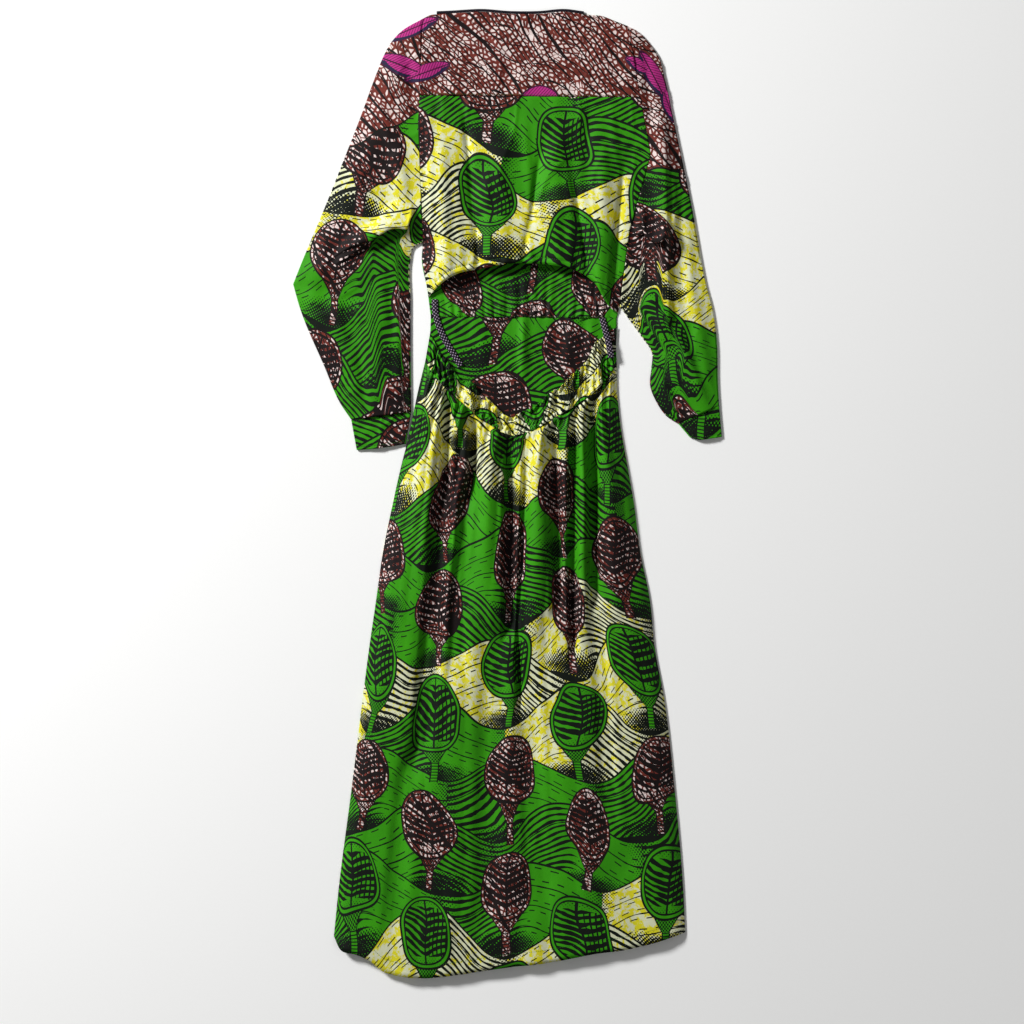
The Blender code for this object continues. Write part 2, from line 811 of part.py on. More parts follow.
def build():
    """Clears the scene and builds every piece."""
    for item in list(bpy.data.objects):
        bpy.data.objects.remove(item)
    garment = bpy.data.collections.new(COLLECTION)
    bpy.context.scene.collection.children.link(garment)
    half = SEAM / 2
    green = (0.09, 0.33, 0.03)
    brown = (0.24, 0.12, 0.09)
    dark = (0.03, 0.02, 0.04)

    # The armhole seams, in straight runs between their marks.
    seam = ARMHOLE_SEAM / 2
    left_marks = (LEFT_ARMHOLE_TOP, LEFT_ARMHOLE_TURN, LEFT_UNDERARM)
    right_marks = (RIGHT_ARMHOLE_TOP, RIGHT_ARMHOLE_TURN, RIGHT_FLAP_END, RIGHT_UNDERARM)
    left_rows = (ARMHOLE_ROWS[0], ARMHOLE_ROWS[1] + ARMHOLE_ROWS[2])
    left_yoke_edge = spread((LEFT_ARMHOLE_TOP, LEFT_YOKE_END), YOKE_ROWS)
    right_yoke_edge = spread((RIGHT_ARMHOLE_TOP, RIGHT_YOKE_END), YOKE_ROWS)
    left_bodice_edge = runs((LEFT_YOKE_END,) + left_marks[1:], left_rows)
    right_bodice_edge = runs((RIGHT_YOKE_END,) + right_marks[1:], ARMHOLE_ROWS)
    yoke_seam = spread((LEFT_YOKE_END, RIGHT_YOKE_END), TORSO_STEPS)
    waist_seam = spread((LEFT_WAIST[-1], RIGHT_WAIST[-1]), TORSO_STEPS)

    # The front lies flat under the back.
    left_shoulder = spread(LEFT_SHOULDER + (BACK_NECK[0],), SHOULDER_STEPS)
    right_shoulder = spread((BACK_NECK[-1],) + RIGHT_SHOULDER, SHOULDER_STEPS)
    left_edge = chain(runs(left_marks, FRONT_LEFT_ROWS), spread(LEFT_WAIST, WAIST_ROWS))
    right_end = spread(RIGHT_WAIST, WAIST_ROWS - 1)
    right_edge = chain(runs(right_marks, FRONT_RIGHT_ROWS), right_end)
    flat_panel(
        "front_bodice",
        (
            chain(left_shoulder, spread(FRONT_NECK, NECK_STEPS), right_shoulder),
            moved(waist_seam, -half),
            moved(left_edge, -seam),
            moved(right_edge, seam),
        ),
        green,
        garment,
    )
    left_side = join((LEFT_WAIST[-1],), LEFT_CASING_END, LEFT_SKIRT_SIDE)
    right_side = join((RIGHT_WAIST[-1],), RIGHT_CASING_END, RIGHT_SKIRT_SIDE)
    columns, rows = FRONT_SKIRT_STEPS
    flat_panel(
        "front_skirt",
        (
            moved(spread((LEFT_WAIST[-1], RIGHT_WAIST[-1]), columns), half),
            spread(HEM, columns) - np.array([0, FRONT_HEM_SHORTER]),
            spread(left_side, rows),
            spread(right_side, rows),
        ),
        green,
        garment,
    )

    # The yoke, from the neck and shoulders to the seam across the back.
    points = grid_patch(
        chain(left_shoulder, spread(BACK_NECK, NECK_STEPS), right_shoulder),
        moved(yoke_seam, -half),
        moved(left_yoke_edge, -seam),
        moved(right_yoke_edge, seam),
    )
    panel("back_yoke", points, upper_height(points), brown, garment)

    # The back bodice, from the yoke to the arch over the opening.
    left_end = spread((LEFT_UNDERARM, LEFT_WAIST[1], ARCH_HEM[0]), BODICE_END_ROWS)
    right_end = spread((RIGHT_UNDERARM, ARCH_HEM[-1]), BODICE_END_ROWS)
    points = grid_patch(
        moved(yoke_seam, half),
        spread(ARCH_HEM, TORSO_STEPS),
        moved(chain(left_bodice_edge, left_end), -seam),
        moved(chain(right_bodice_edge, right_end), seam),
    )
    panel("back_bodice", points, upper_height(points), green, garment)

    # The elastic casing, a gathered band in a shallow V.
    columns, rows = SKIRT_STEPS
    casing_seam = spread(CASING_SEAM, columns)
    casing_points = grid_patch(
        spread(CASING_TOP, columns),
        moved(casing_seam, -half),
        spread(LEFT_CASING_END, CASING_ROWS),
        spread(RIGHT_CASING_END, CASING_ROWS),
    )
    u, v = np.meshgrid(np.linspace(0, 1, columns + 1), np.linspace(0, 1, CASING_ROWS + 1))
    casing_under = casing_height(casing_points, u, v)
    panel("back_skirt_casing", casing_points, casing_under, green, garment)

    # The back skirt.
    points = grid_patch(
        moved(casing_seam, half),
        spread(HEM, columns),
        spread(LEFT_SKIRT_SIDE, rows),
        spread(RIGHT_SKIRT_SIDE, rows),
    )
    u = np.broadcast_to(np.linspace(0, 1, columns + 1), points.shape[:2])
    seam_distance = np.linalg.norm(points - points[:1], axis=-1)
    panel("back_skirt", points, skirt_height(points, u, seam_distance), green, garment)

    # The sleeves: the cap reaches down to the flap line, the forearm from there to the cuff.
    flap = dense(LEFT_FLAP)
    cap = trimmed(
        moved((LEFT_ARMHOLE_TOP, LEFT_YOKE_END), seam),
        flap,
        dense(LEFT_SLEEVE_OUTER),
        moved((LEFT_YOKE_END, LEFT_ARMHOLE_TURN, LEFT_UNDERARM), seam),
    )
    forearm = trimmed(
        flap,
        moved(LEFT_CUFF_TOP, -half),
        dense(LEFT_FOREARM_OUTER),
        dense(LEFT_FOREARM_INNER),
    )
    sleeve("sleeve_left", cap, forearm, LEFT_COLUMNS, LEFT_FLAP_SHARE, 1, 0, green, garment)

    flap = dense(RIGHT_FLAP)
    cap = trimmed(
        moved((RIGHT_ARMHOLE_TOP, RIGHT_YOKE_END), -seam),
        flap,
        dense(RIGHT_SLEEVE_OUTER),
        moved((RIGHT_YOKE_END, RIGHT_ARMHOLE_TURN, RIGHT_FLAP_END), -seam),
    )
    underarm = moved((RIGHT_FLAP_END, RIGHT_UNDERARM), -seam)
    forearm = trimmed(
        flap,
        moved(RIGHT_CUFF_TOP, half),
        dense(RIGHT_FOREARM_OUTER),
        chain(underarm, dense(RIGHT_FOREARM_INNER)),
    )
    sleeve(
        "sleeve_right",
        cap,
        forearm,
        RIGHT_COLUMNS,
        RIGHT_FLAP_SHARE,
        3,
        np.linalg.norm(underarm[1] - underarm[0]),
        green,
        garment,
    )

    # The cuffs.
    cuff("cuff_left", moved(LEFT_CUFF_TOP, half), LEFT_CUFF_END, 1.5, green, garment)
    cuff("cuff_right", moved(RIGHT_CUFF_TOP, -half), RIGHT_CUFF_END, 3.0, green, garment)

    # The bindings of the neck and of the opening.
    neck_ring("neck_binding", dark, garment)
    ribbon(
        "opening_binding_left",
        LEFT_BINDING,
        BINDING_WIDTH,
        lambda centre: np.full(len(centre), WALL + LAYER_GAP),
        dark,
        garment,
    )
    ribbon(
        "opening_binding_right",
        RIGHT_BINDING,
        BINDING_WIDTH,
        lambda centre: height_over(centre, casing_points, casing_under),
        dark,
        garment,
    )
    return garment


build()
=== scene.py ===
"""The looks of a long-sleeved, open-back maxi dress in wax-print cotton, laid flat on its front.

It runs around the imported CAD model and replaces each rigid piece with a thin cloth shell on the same
form. The tables are the pattern tables of the part, in millimetres on the page: `across` runs to the
right from the middle line and `down` from the top of the neck. Every surface is a function of two
parameters on a grid.
"""

import math

import bpy
import numpy as np
from bpy.props import FloatProperty, FloatVectorProperty, IntProperty, PointerProperty
from bpy.types import Operator, Panel, PropertyGroup
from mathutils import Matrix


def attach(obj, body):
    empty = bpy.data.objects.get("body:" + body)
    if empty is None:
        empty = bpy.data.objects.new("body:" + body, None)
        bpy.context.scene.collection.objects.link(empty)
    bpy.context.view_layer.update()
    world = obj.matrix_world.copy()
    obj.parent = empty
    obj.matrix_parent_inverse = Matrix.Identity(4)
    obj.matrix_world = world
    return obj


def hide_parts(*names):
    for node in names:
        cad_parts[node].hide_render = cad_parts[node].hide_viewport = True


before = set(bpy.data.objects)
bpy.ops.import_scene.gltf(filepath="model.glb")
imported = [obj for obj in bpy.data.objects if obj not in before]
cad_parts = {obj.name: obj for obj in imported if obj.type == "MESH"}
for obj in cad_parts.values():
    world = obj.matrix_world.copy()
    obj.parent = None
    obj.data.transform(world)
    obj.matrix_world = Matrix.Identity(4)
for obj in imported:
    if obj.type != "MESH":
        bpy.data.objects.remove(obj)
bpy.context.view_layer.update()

bl_info = {
    "name": "Open-back wax-print dress",
    "version": (1, 0, 0),
    "blender": (4, 5, 0),
    "location": "View3D > Sidebar > Dress",
    "description": "Makes a long-sleeved open-back dress laid flat, around its packed model",
    "category": "Object",
}

MM = 0.001
TAU = 2 * math.pi
COLLECTION = "Open-back dress"

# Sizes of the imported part, in millimetres.
LENGTH = 1400.0
WALL = 1.2
SEAM = 0.3
LAYER_GAP = 0.3
SLEEVE_GAP = 0.8
EDGE_SOFTNESS = 34.0
BINDING_WIDTH = 9.0
NECK_BINDING_WIDTH = 4.0
NECK_HEIGHT = 3.3
BINDING_CROWN = 1.2
BINDING_REACH = 11.0
GATHERS = 22
GATHER_HEIGHT = 2.0
GATHER_FADE = 45.0
FRONT_HEM_SHORTER = 3.0
WAIST_LINE = 445
YOKE_DEPTH = 118
FOLD_FADE = 30
SETTLE_WIDTH = 7

# The armhole gap is narrower here than in the part, which has 0.5. A tube lies flat with edges of this
# radius. The front's cloth shows this high over the surface, and MIDDLE is the back's middle line across
# the page.
ARMHOLE_SEAM = 0.1
TUBE_TURN = (2 * WALL + SLEEVE_GAP) / 2
FRONT_WALL = 0.9
MIDDLE = 18

# Grid points of each surface: across, then down.
YOKE_GRID = (160, 60)
BODICE_GRID = (170, 150)
CASING_GRID = (420, 26)
SKIRT_GRID = (300, 150)
FRONT_BODICE_GRID = (140, 150)
FRONT_SKIRT_GRID = (110, 170)
SLEEVE_UPPER = 72
SLEEVE_LOWER = 22
SLEEVE_CAP_ROWS = 60
SLEEVE_FLAP_ROWS = 64
SLEEVE_FOREARM_ROWS = 84
CUFF_ROWS = 30
CUFF_UPPER = 60
CUFF_LOWER = 24
NECK_STEPS = 90
NECK_COLUMNS = 5
BINDING_STEPS = 60
BINDING_COLUMNS = 9
CURVE_STEPS = 12
COLUMN_STEPS = 241
EVEN_REACH = 4
EDGE_TURN = (25, 50, 90, 130, 155)

# Every third point of a fine line or grid is enough to measure distances to it, in blocks of this many
# points.
THINNING = 3
BLOCK = 4000

# Outlines, as points of (across, down).
BACK_NECK = (
    (-101, 8), (-77, 7), (-37, 5), (4, 8), (44, 8), (85, 5), (109, 8),
)
FRONT_NECK = (
    (-101, 9), (-78, 17), (-45, 34), (4, 44), (53, 34), (86, 17), (109, 9),
)
LEFT_SHOULDER = ((-122, 14), (-111, 9))
RIGHT_SHOULDER = ((119, 9), (134, 10), (156, 18), (174, 25))
LEFT_ARMHOLE_TOP = (-122, 14)
LEFT_YOKE_END = (-127.2, 126)
LEFT_ARMHOLE_TURN = (-129, 165)
LEFT_UNDERARM = (-122, 338)
RIGHT_ARMHOLE_TOP = (174, 25)
RIGHT_YOKE_END = (192.4, 129)
RIGHT_ARMHOLE_TURN = (207, 212)
RIGHT_FLAP_END = (176, 322)
RIGHT_UNDERARM = (162, 430)
LEFT_WAIST = ((-122, 338), (-124, 360), (-116, 406), (-111, 445))
RIGHT_WAIST = ((162, 430), (160, 440), (158, 447))
ARCH_HEM = (
    (-114, 417), (-100, 402), (-76, 386), (-40, 377), (18, 369), (64, 372), (102, 381), (125, 397),
    (139, 420), (149, 433), (160, 440),
)
CASING_TOP = (
    (-112, 470), (-92, 503), (-70, 532), (-53, 541), (-41, 553), (-21, 571), (8, 587), (18, 581),
    (48, 567), (66, 552), (93, 533), (116, 503), (137, 472), (158, 460),
)
CASING_SEAM = (
    (-119, 510), (-98, 541), (-76, 560), (-54, 580), (-25, 602), (7, 617), (33, 611), (69, 591),
    (105, 570), (134, 546), (158, 515),
)
LEFT_CASING_END = ((-112, 470), (-116, 493), (-119, 510))
RIGHT_CASING_END = ((158, 460), (157, 493), (158, 515))
LEFT_SKIRT_SIDE = (
    (-119, 510), (-129, 551), (-144, 623), (-153, 658), (-166, 716), (-180, 785), (-190, 855),
    (-200, 924), (-209, 994), (-226, 1132), (-244, 1271), (-251, 1341),
)
RIGHT_SKIRT_SIDE = (
    (158, 515), (158, 537), (164, 606), (173, 658), (183, 716), (192, 785), (206, 855), (213, 924),
    (226, 994), (242, 1132), (254, 1271), (257, 1335),
)
HEM = (
    (-251, 1341), (-239, 1361), (-219, 1366), (-199, 1375), (-179, 1391), (-158, 1397),
    (-118, 1400), (-77, 1396), (-37, 1390), (4, 1384), (44, 1380), (85, 1373), (125, 1365),
    (166, 1360), (206, 1351), (257, 1335),
)
LEFT_SLEEVE_OUTER = (
    (-122, 14), (-154, 33), (-170, 51), (-179, 68), (-193, 103), (-212, 155), (-239, 224),
    (-267, 294), (-296, 363), (-310, 398),
)
LEFT_FOREARM_OUTER = ((-310, 398), (-301, 430), (-264, 519), (-242, 570), (-226, 594))
LEFT_FOREARM_INNER = (
    (-122, 338), (-136, 346), (-140, 363), (-140, 421), (-140, 493), (-139, 583),
)
LEFT_FLAP = (
    (-310, 398), (-276, 386), (-236, 366), (-202, 347), (-180, 327), (-165, 320), (-146, 322),
    (-122, 338),
)
LEFT_CUFF_TOP = ((-226, 594), (-139, 583))
LEFT_CUFF_END = ((-218, 638), (-182, 635), (-147, 629))
RIGHT_SLEEVE_OUTER = (
    (174, 25), (189, 33), (206, 51), (218, 68), (228, 103), (239, 155), (255, 230), (268, 294),
    (277, 346),
)
RIGHT_FOREARM_OUTER = (
    (277, 346), (287, 398), (296, 432), (303, 485), (304, 537), (306, 574),
)
RIGHT_FLAP = ((277, 346), (248, 352), (219, 347), (197, 336), (176, 322))
RIGHT_FOREARM_INNER = (
    (162, 430), (177, 451), (195, 476), (209, 498), (208, 519), (206, 544), (215, 568), (231, 590),
    (247, 600),
)
RIGHT_CUFF_TOP = ((306, 574), (247, 600))
RIGHT_CUFF_END = ((310, 619), (290, 622), (274, 623), (264, 620))
LEFT_BINDING = ((-105, 420), (-104, 440), (-100, 456), (-91, 477), (-78, 499), (-67, 517))
RIGHT_BINDING = ((137, 447), (141, 464), (146, 484), (150, 505))

# Heights of the upper layer over the lower one: down, height.
TORSO_RISE = (
    (0, 2.4), (60, 4.4), (126, 6.0), (250, 9.0), (330, 12.5), (385, 15.0), (450, 14.0),
)
SLEEVE_RISE = 6.0
CASING_RISE = (2.4, 8.0)
SKIRT_RISE = (
    (0, 8.0), (45, 13.0), (160, 15.0), (330, 13.5), (600, 11.0), (900, 8.5),
)

# Folds of the bodice and sleeves: start across and down, end across and down, height, width to each side.
UPPER_FOLDS = (
    (-96, 190, -86, 385, 6.0, 14, 12),
    (-62, 150, -40, 392, -5.0, 8, 10),
    (-12, 190, -6, 380, 5.0, 20, 18),
    (47, 215, 20, 384, -4.5, 7, 9),
    (70, 190, 72, 385, 5.5, 16, 15),
    (98, 262, 120, 400, -4.5, 7, 8),
    (138, 215, 134, 400, 5.0, 11, 11),
    (168, 235, 148, 430, -4.5, 7, 8),
    (-146, 62, -131, 160, -3.0, 9, 7),
    (-160, 190, -148, 280, 4.0, 14, 10),
    (-250, 300, -190, 340, 3.5, 16, 16),
    (-300, 398, -210, 425, -3.0, 9, 9),
    (-285, 372, -236, 380, 4.0, 12, 12),
    (-200, 440, -186, 560, 3.5, 16, 16),
    (-172, 380, -165, 470, -2.5, 7, 7),
    (201, 60, 206, 165, -3.0, 7, 9),
    (226, 165, 232, 470, 7.5, 15, 6),
    (250, 190, 252, 430, -3.0, 7, 9),
    (200, 400, 225, 470, 4.0, 14, 10),
    (238, 455, 285, 566, 5.5, 13, 7),
    (222, 520, 256, 585, -3.0, 7, 7),
    (272, 420, 292, 540, 2.5, 10, 9),
)

# Folds of the back skirt: start across and down, end across and down, share of the height, width to each
# side.
SKIRT_FOLDS = (
    (-84, 515, -91, 700, -0.84, 11, 10),
    (-94, 690, -126, 1090, -0.62, 20, 18),
    (-49, 548, -49, 700, -0.88, 8, 8),
    (-54, 680, -72, 960, -0.35, 12, 12),
    (3, 566, 2, 905, -0.86, 11, 11),
    (31, 575, 16, 1010, -0.50, 6, 7),
    (64, 548, 72, 870, -0.82, 12, 8),
    (93, 535, 92, 930, -0.70, 7, 8),
    (124, 552, 125, 850, -0.90, 12, 11),
    (128, 830, 150, 1180, -0.30, 16, 14),
    (30, 960, 46, 1300, -0.30, 20, 18),
    (-20, 900, -34, 1330, -0.28, 22, 20),
    (-140, 1060, -170, 1340, -0.26, 16, 20),
    (-70, 960, -92, 1395, 0.22, 24, 24),
    (96, 930, 112, 1370, 0.24, 24, 24),
    (-116, 560, -124, 860, 0.30, 14, 12),
    (-70, 560, -70, 800, 0.35, 12, 12),
    (-26, 600, -28, 900, 0.35, 13, 13),
    (45, 590, 43, 900, 0.32, 12, 12),
    (110, 560, 110, 900, 0.25, 8, 8),
    (146, 570, 160, 880, 0.25, 12, 10),
)

# The flap under each arm, from the cap side to the forearm side: run along the sleeve, rise over it.
FLAP_PROFILE = (
    (-42, 1.5), (-27, 7.5), (-12, 12.0), (-1.5, 13.8), (4.0, 12.6), (4.2, 9.6), (-1.5, 8.0),
    (-13, 7.0), (-21, 5.9), (-24.5, 3.7), (-20.5, 1.6), (-9, 0.8), (5, 0.3), (20, 0.0),
)

# How much of the flap there is across a sleeve: share from the outer edge, share of the flap.
LEFT_FLAP_SHARE = (
    (0, 0), (0.22, 0), (0.36, 0.3), (0.45, 0.5), (0.63, 0.85), (0.72, 1), (0.8, 1), (0.88, 0.6),
    (0.96, 0.15), (1, 0),
)
RIGHT_FLAP_SHARE = (
    (0, 0), (0.3, 0), (0.38, 0.2), (0.48, 0.55), (0.62, 0.85), (0.7, 0.85), (0.82, 0.55),
    (0.94, 0.15), (1, 0),
)

# Finer folds that the rigid part leaves out, in the same columns.
FINE_FOLDS = (
    (-112, 150, -110, 330, 1.6, 5, 5),
    (-78, 210, -66, 392, 1.6, 6, 5),
    (-28, 240, -22, 380, 1.8, 6, 6),
    (26, 170, 34, 380, 2.0, 7, 6),
    (86, 230, 92, 385, 1.8, 6, 5),
    (118, 150, 112, 250, -1.6, 6, 6),
    (150, 140, 158, 230, 1.8, 7, 6),
    (-190, 120, -168, 200, 1.6, 8, 7),
    (-230, 210, -200, 300, 1.8, 9, 8),
    (-270, 300, -262, 370, 1.4, 7, 7),
    (-250, 420, -226, 520, 1.8, 9, 8),
    (-214, 500, -204, 584, -1.6, 6, 6),
    (-158, 430, -156, 560, 1.6, 7, 6),
    (238, 170, 242, 330, 1.6, 6, 6),
    (262, 330, 268, 430, 1.8, 7, 6),
    (246, 420, 262, 500, 1.4, 6, 6),
)

# Creases of the front skirt where the opening shows it, in the same columns.
FRONT_CREASES = (
    (22, 448, 22, 575, 5.5, 5, 8),
    (-40, 452, -30, 560, 1.8, 12, 12),
    (92, 452, 84, 540, 2.6, 8, 11),
    (124, 450, 118, 520, 2.4, 7, 7),
)

# Rows of sewing: distances from the edge, and shares down the casing.
HEM_ROW = 9.0
SKIRT_HEM_ROW = 19.0
CASING_ROWS = (0.2, 0.8)
CUFF_ROW_SHARES = (0.07, 0.9)
CUFF_STITCH_ROWS = (2, 26)

# Where each piece was cut from the cloth: how far the print is shifted on it, in millimetres.
CLOTH_MAP = "Cloth"
BODICE_SHIFT = (30, 125)
CASING_SHIFT = (75, 0)
SKIRT_SHIFT = (0, 0)
FRONT_BODICE_SHIFT = (-40, 7)
FRONT_SKIRT_SHIFT = (20, 110)
LEFT_SLEEVE_SHIFT = (60, -95)
RIGHT_SLEEVE_SHIFT = (-20, 20)
CUFF_SHIFTS = {"cuff_left": (20, 50), "cuff_right": (-30, 10)}

# Middle lines of the casing and the skirt, in the same millimetres, and print across two gathered pieces,
# in metres.
CASING_MIDDLE = 12
SKIRT_MIDDLE = 10
CASING_PRINT_WIDTH = 0.56
FRONT_PRINT_WIDTH = 0.36

# The arms' directions on the page, and the rows of a sleeve's flap.
LEFT_ARM_AXIS = (-0.242, 0.970)
RIGHT_ARM_AXIS = (0.199, 0.980)
FLAP_ROWS = (SLEEVE_CAP_ROWS, SLEEVE_CAP_ROWS + SLEEVE_FLAP_ROWS)

# The photo's frame on the page, in millimetres, and the height of the camera in metres.
PHOTO_WIDTH = 1481.0
PHOTO_MIDDLE = (6.5, -27.5)
CAMERA_HEIGHT = 4.2

# Soft lights: place, size across in metres, share of the key light's power.
LIGHTS = (
    ("key_light", (-3.2, 2.4, 2.35), 1.0, 1.0),
    ("fill_light", (2.6, -1.6, 3.2), 2.6, 0.05),
)


# Curves and patches, on the page in millimetres.


def smooth(value):
    """Rises softly from 0 to 1: 3 v^2 - 2 v^3."""
    value = np.clip(value, 0, 1)
    return value * value * (3 - 2 * value)


def bell(value, width):
    """1 at 0, falling off to both sides: exp(-(value / width)^2)."""
    return np.exp(-((value / width) ** 2))


def between(share, width):
    """1 inside a panel, falling softly to 0 over this share of it at both of its ends."""
    return smooth(share / width) * smooth((1 - share) / width)


def join(*lines):
    """One line through several, each starting where the last one ends."""
    points = list(lines[0])
    for line in lines[1:]:
        points.extend(line[1:] if tuple(line[0]) == tuple(points[-1]) else line)
    return tuple(points)


def dense(points):
    """The smooth curve through the points: cubic pieces whose slopes come from the neighbours."""
    points = np.array(points, float)
    spans = np.linalg.norm(np.diff(points, axis=0), axis=1)
    slopes = np.diff(points, axis=0) / spans[:, None]
    tangents = np.empty_like(points)
    tangents[0] = slopes[0]
    tangents[-1] = slopes[-1]
    before = spans[:-1, None]
    after = spans[1:, None]
    tangents[1:-1] = (slopes[:-1] * after + slopes[1:] * before) / (before + after)
    step = np.linspace(0, 1, CURVE_STEPS, endpoint=False)[None, :, None]
    start = points[:-1, None]
    end = points[1:, None]
    leave = tangents[:-1, None] * spans[:, None, None]
    arrive = tangents[1:, None] * spans[:, None, None]
    curve = (
        (2 * step**3 - 3 * step**2 + 1) * start
        + (step**3 - 2 * step**2 + step) * leave
        + (3 * step**2 - 2 * step**3) * end
        + (step**3 - step**2) * arrive
    )
    return np.concatenate([curve.reshape(-1, 2), points[-1:]])


def lengths(curve):
    """Distance travelled along a line of points, at each of them."""
    steps = np.linalg.norm(np.diff(curve, axis=0), axis=1)
    return np.concatenate([[0], np.cumsum(steps)])


def along(curve, share):
    """Points of a line at these shares of its length."""
    curve = np.asarray(curve, float)
    travelled = lengths(curve)
    share = np.asarray(share, float) * travelled[-1]
    return np.stack([np.interp(share, travelled, curve[:, i]) for i in range(curve.shape[1])], -1)


def chain(*lines):
    """One edge from several, each starting where the last one ends."""
    return np.concatenate([lines[0]] + [line[1:] for line in lines[1:]])


def unit(vectors):
    """The vectors at length 1."""
    return vectors / np.linalg.norm(vectors, axis=1, keepdims=True)


def square_to(curve):
    """Unit directions square to a line of points, to the right of its direction on the page."""
    direction = unit(np.gradient(curve, axis=0))
    return np.stack([-direction[:, 1], direction[:, 0]], -1)


def moved(curve, by):
    """The curve moved sideways, to the right of its direction on the page."""
    curve = np.array(curve, float)
    return curve + by * square_to(curve)


def trimmed(top, bottom, left, right):
    """Four edges whose ends meet at shared corners."""
    edges = [np.array(edge, float) for edge in (top, bottom, left, right)]
    pairs = ((0, 0, 2, 0), (0, -1, 3, 0), (1, 0, 2, -1), (1, -1, 3, -1))
    for first, first_end, second, second_end in pairs:
        corner = (edges[first][first_end] + edges[second][second_end]) / 2
        edges[first][first_end] = corner
        edges[second][second_end] = corner
    return edges


def patch(edges, u, v):
    """A Coons patch: the blend across, plus the blend down, less the flat blend of the four corners."""
    top, bottom, left, right = edges
    u = np.asarray(u, float)[..., None]
    v = np.asarray(v, float)[..., None]
    across = (1 - v) * along(top, u[..., 0]) + v * along(bottom, u[..., 0])
    down = (1 - u) * along(left, v[..., 0]) + u * along(right, v[..., 0])
    upper = (1 - u) * top[0] + u * top[-1]
    lower = (1 - u) * bottom[0] + u * bottom[-1]
    return across + down - ((1 - v) * upper + v * lower)


def shares(grid):
    """The two parameters of a grid of this many points across and down, each from 0 to 1."""
    return np.meshgrid(np.linspace(0, 1, grid[0]), np.linspace(0, 1, grid[1]))


# Heights over the page.


def outlines():
    """The outer edge of the garment, as its left and its right half."""
    left = (
        ((-101, 4),),
        LEFT_SLEEVE_OUTER,
        LEFT_FOREARM_OUTER,
        LEFT_CUFF_END,
        LEFT_FOREARM_INNER[::-1],
        LEFT_WAIST,
        LEFT_CASING_END,
        LEFT_SKIRT_SIDE,
    )
    right = (
        ((109, 4),),
        RIGHT_SLEEVE_OUTER,
        RIGHT_FOREARM_OUTER,
        RIGHT_CUFF_END,
        RIGHT_FOREARM_INNER[::-1],
        RIGHT_WAIST,
        RIGHT_CASING_END,
        RIGHT_SKIRT_SIDE,
    )
    return [dense(join(*half)) for half in (left, right)]


OUTLINES = outlines()


def edge_distance(points):
    """Distance of each point to the outer edge, worked out in blocks of points against all its runs."""
    flat = points.reshape(-1, 2)
    nearest = np.full(len(flat), 1e9)
    for line in OUTLINES:
        line = line[::THINNING]
        start = line[:-1]
        run = line[1:] - start
        length = np.maximum((run**2).sum(1), 1e-9)
        for first in range(0, len(flat), BLOCK):
            block = slice(first, first + BLOCK)
            offset = flat[block, None] - start[None]
            share = np.clip((offset * run).sum(-1) / length, 0, 1)
            gap = np.linalg.norm(offset - share[..., None] * run, axis=-1).min(1)
            nearest[block] = np.minimum(nearest[block], gap)
    return nearest.reshape(points.shape[:-1])


def from_row(points, row):
    """Distance of each point of a grid from the one in this row of its column."""
    return np.linalg.norm(points - points[row : row + 1 or None], axis=-1)


def edge_share(distance):
    """0 on the outer edge, rising as a quarter sine to 1 at EDGE_SOFTNESS from it."""
    return np.sin(np.clip(distance / EDGE_SOFTNESS, 0, 1) * np.pi / 2)


def from_fold(points, fold):
    """Where points lie from one fold: how far beside its line, in its own widths and in millimetres, how
    strong it still is there, and the direction square to it. It fades over the last 30 mm and the next 30
    at both ends.
    """
    start_x, start_y, end_x, end_y, _, left, right = fold
    start = np.array([start_x, start_y], float)
    run = np.array([end_x, end_y], float) - start
    length = np.linalg.norm(run)
    run = run / length
    square = np.array([-run[1], run[0]])
    offset = points - start
    travelled = offset @ run
    beside = offset @ square
    width = np.where(beside > 0, left, right)
    start_fade = smooth((travelled + FOLD_FADE) / (2 * FOLD_FADE))
    fade = start_fade * smooth((length + FOLD_FADE - travelled) / (2 * FOLD_FADE))
    return beside, width, fade, square


def folds(points, table, trough_power=2.0):
    """The sum of the folds in a table: h exp(-(d / w)^2) at a distance d beside each line, less near its
    ends.

    With a trough power over 2 its troughs have a flatter floor and steeper sides.
    """
    total = np.zeros(points.shape[:-1])
    for fold in table:
        beside, width, fade, _ = from_fold(points, fold)
        power = 2.0 if fold[4] > 0 else trough_power
        total += fold[4] * fade * np.exp(-(np.abs(beside / width) ** power))
    return total


def tucked(points, table, full, soft):
    """Points drawn in towards each trough of a table, which closes to a narrow crease between round
    ridges.

    At a distance d beside a trough of width w the shift is -0.4 d exp(-(d / 2.2 w)^2), at its full size
    where the trough is at least `full` deep.
    """
    shift = np.zeros_like(points)
    for fold in table:
        if fold[4] < 0:
            beside, width, fade, square = from_fold(points, fold)
            grip = 0.4 * min(1, -fold[4] / full)
            amount = -grip * beside * bell(beside, 2.2 * width) * fade * soft
            shift += amount[..., None] * square
    return points + shift


def read_table(table, value):
    """The second column of a table at this value of the first."""
    rows = np.array(table, float)
    return np.interp(value, rows[:, 0], rows[:, 1])


WAVES = 7


def wander(points, size, seed, stretch=1.0):
    """A smooth uneven field from about -1 to 1: WAVES sine waves of seeded directions, about `size` long.

    With a stretch over 1 its patches are that much longer down the page than across it.
    """
    draw = np.random.default_rng(seed)
    turn = draw.uniform(0, TAU, WAVES)
    rate = TAU / size * draw.uniform(0.55, 1.5, WAVES)
    start = draw.uniform(0, TAU, WAVES)
    total = np.zeros(points.shape[:-1])
    for angle, pace, phase in zip(turn, rate, start):
        place = points[..., 0] * math.cos(angle) + points[..., 1] * math.sin(angle) / stretch
        total += np.sin(place * pace + phase)
    return total / 2.6


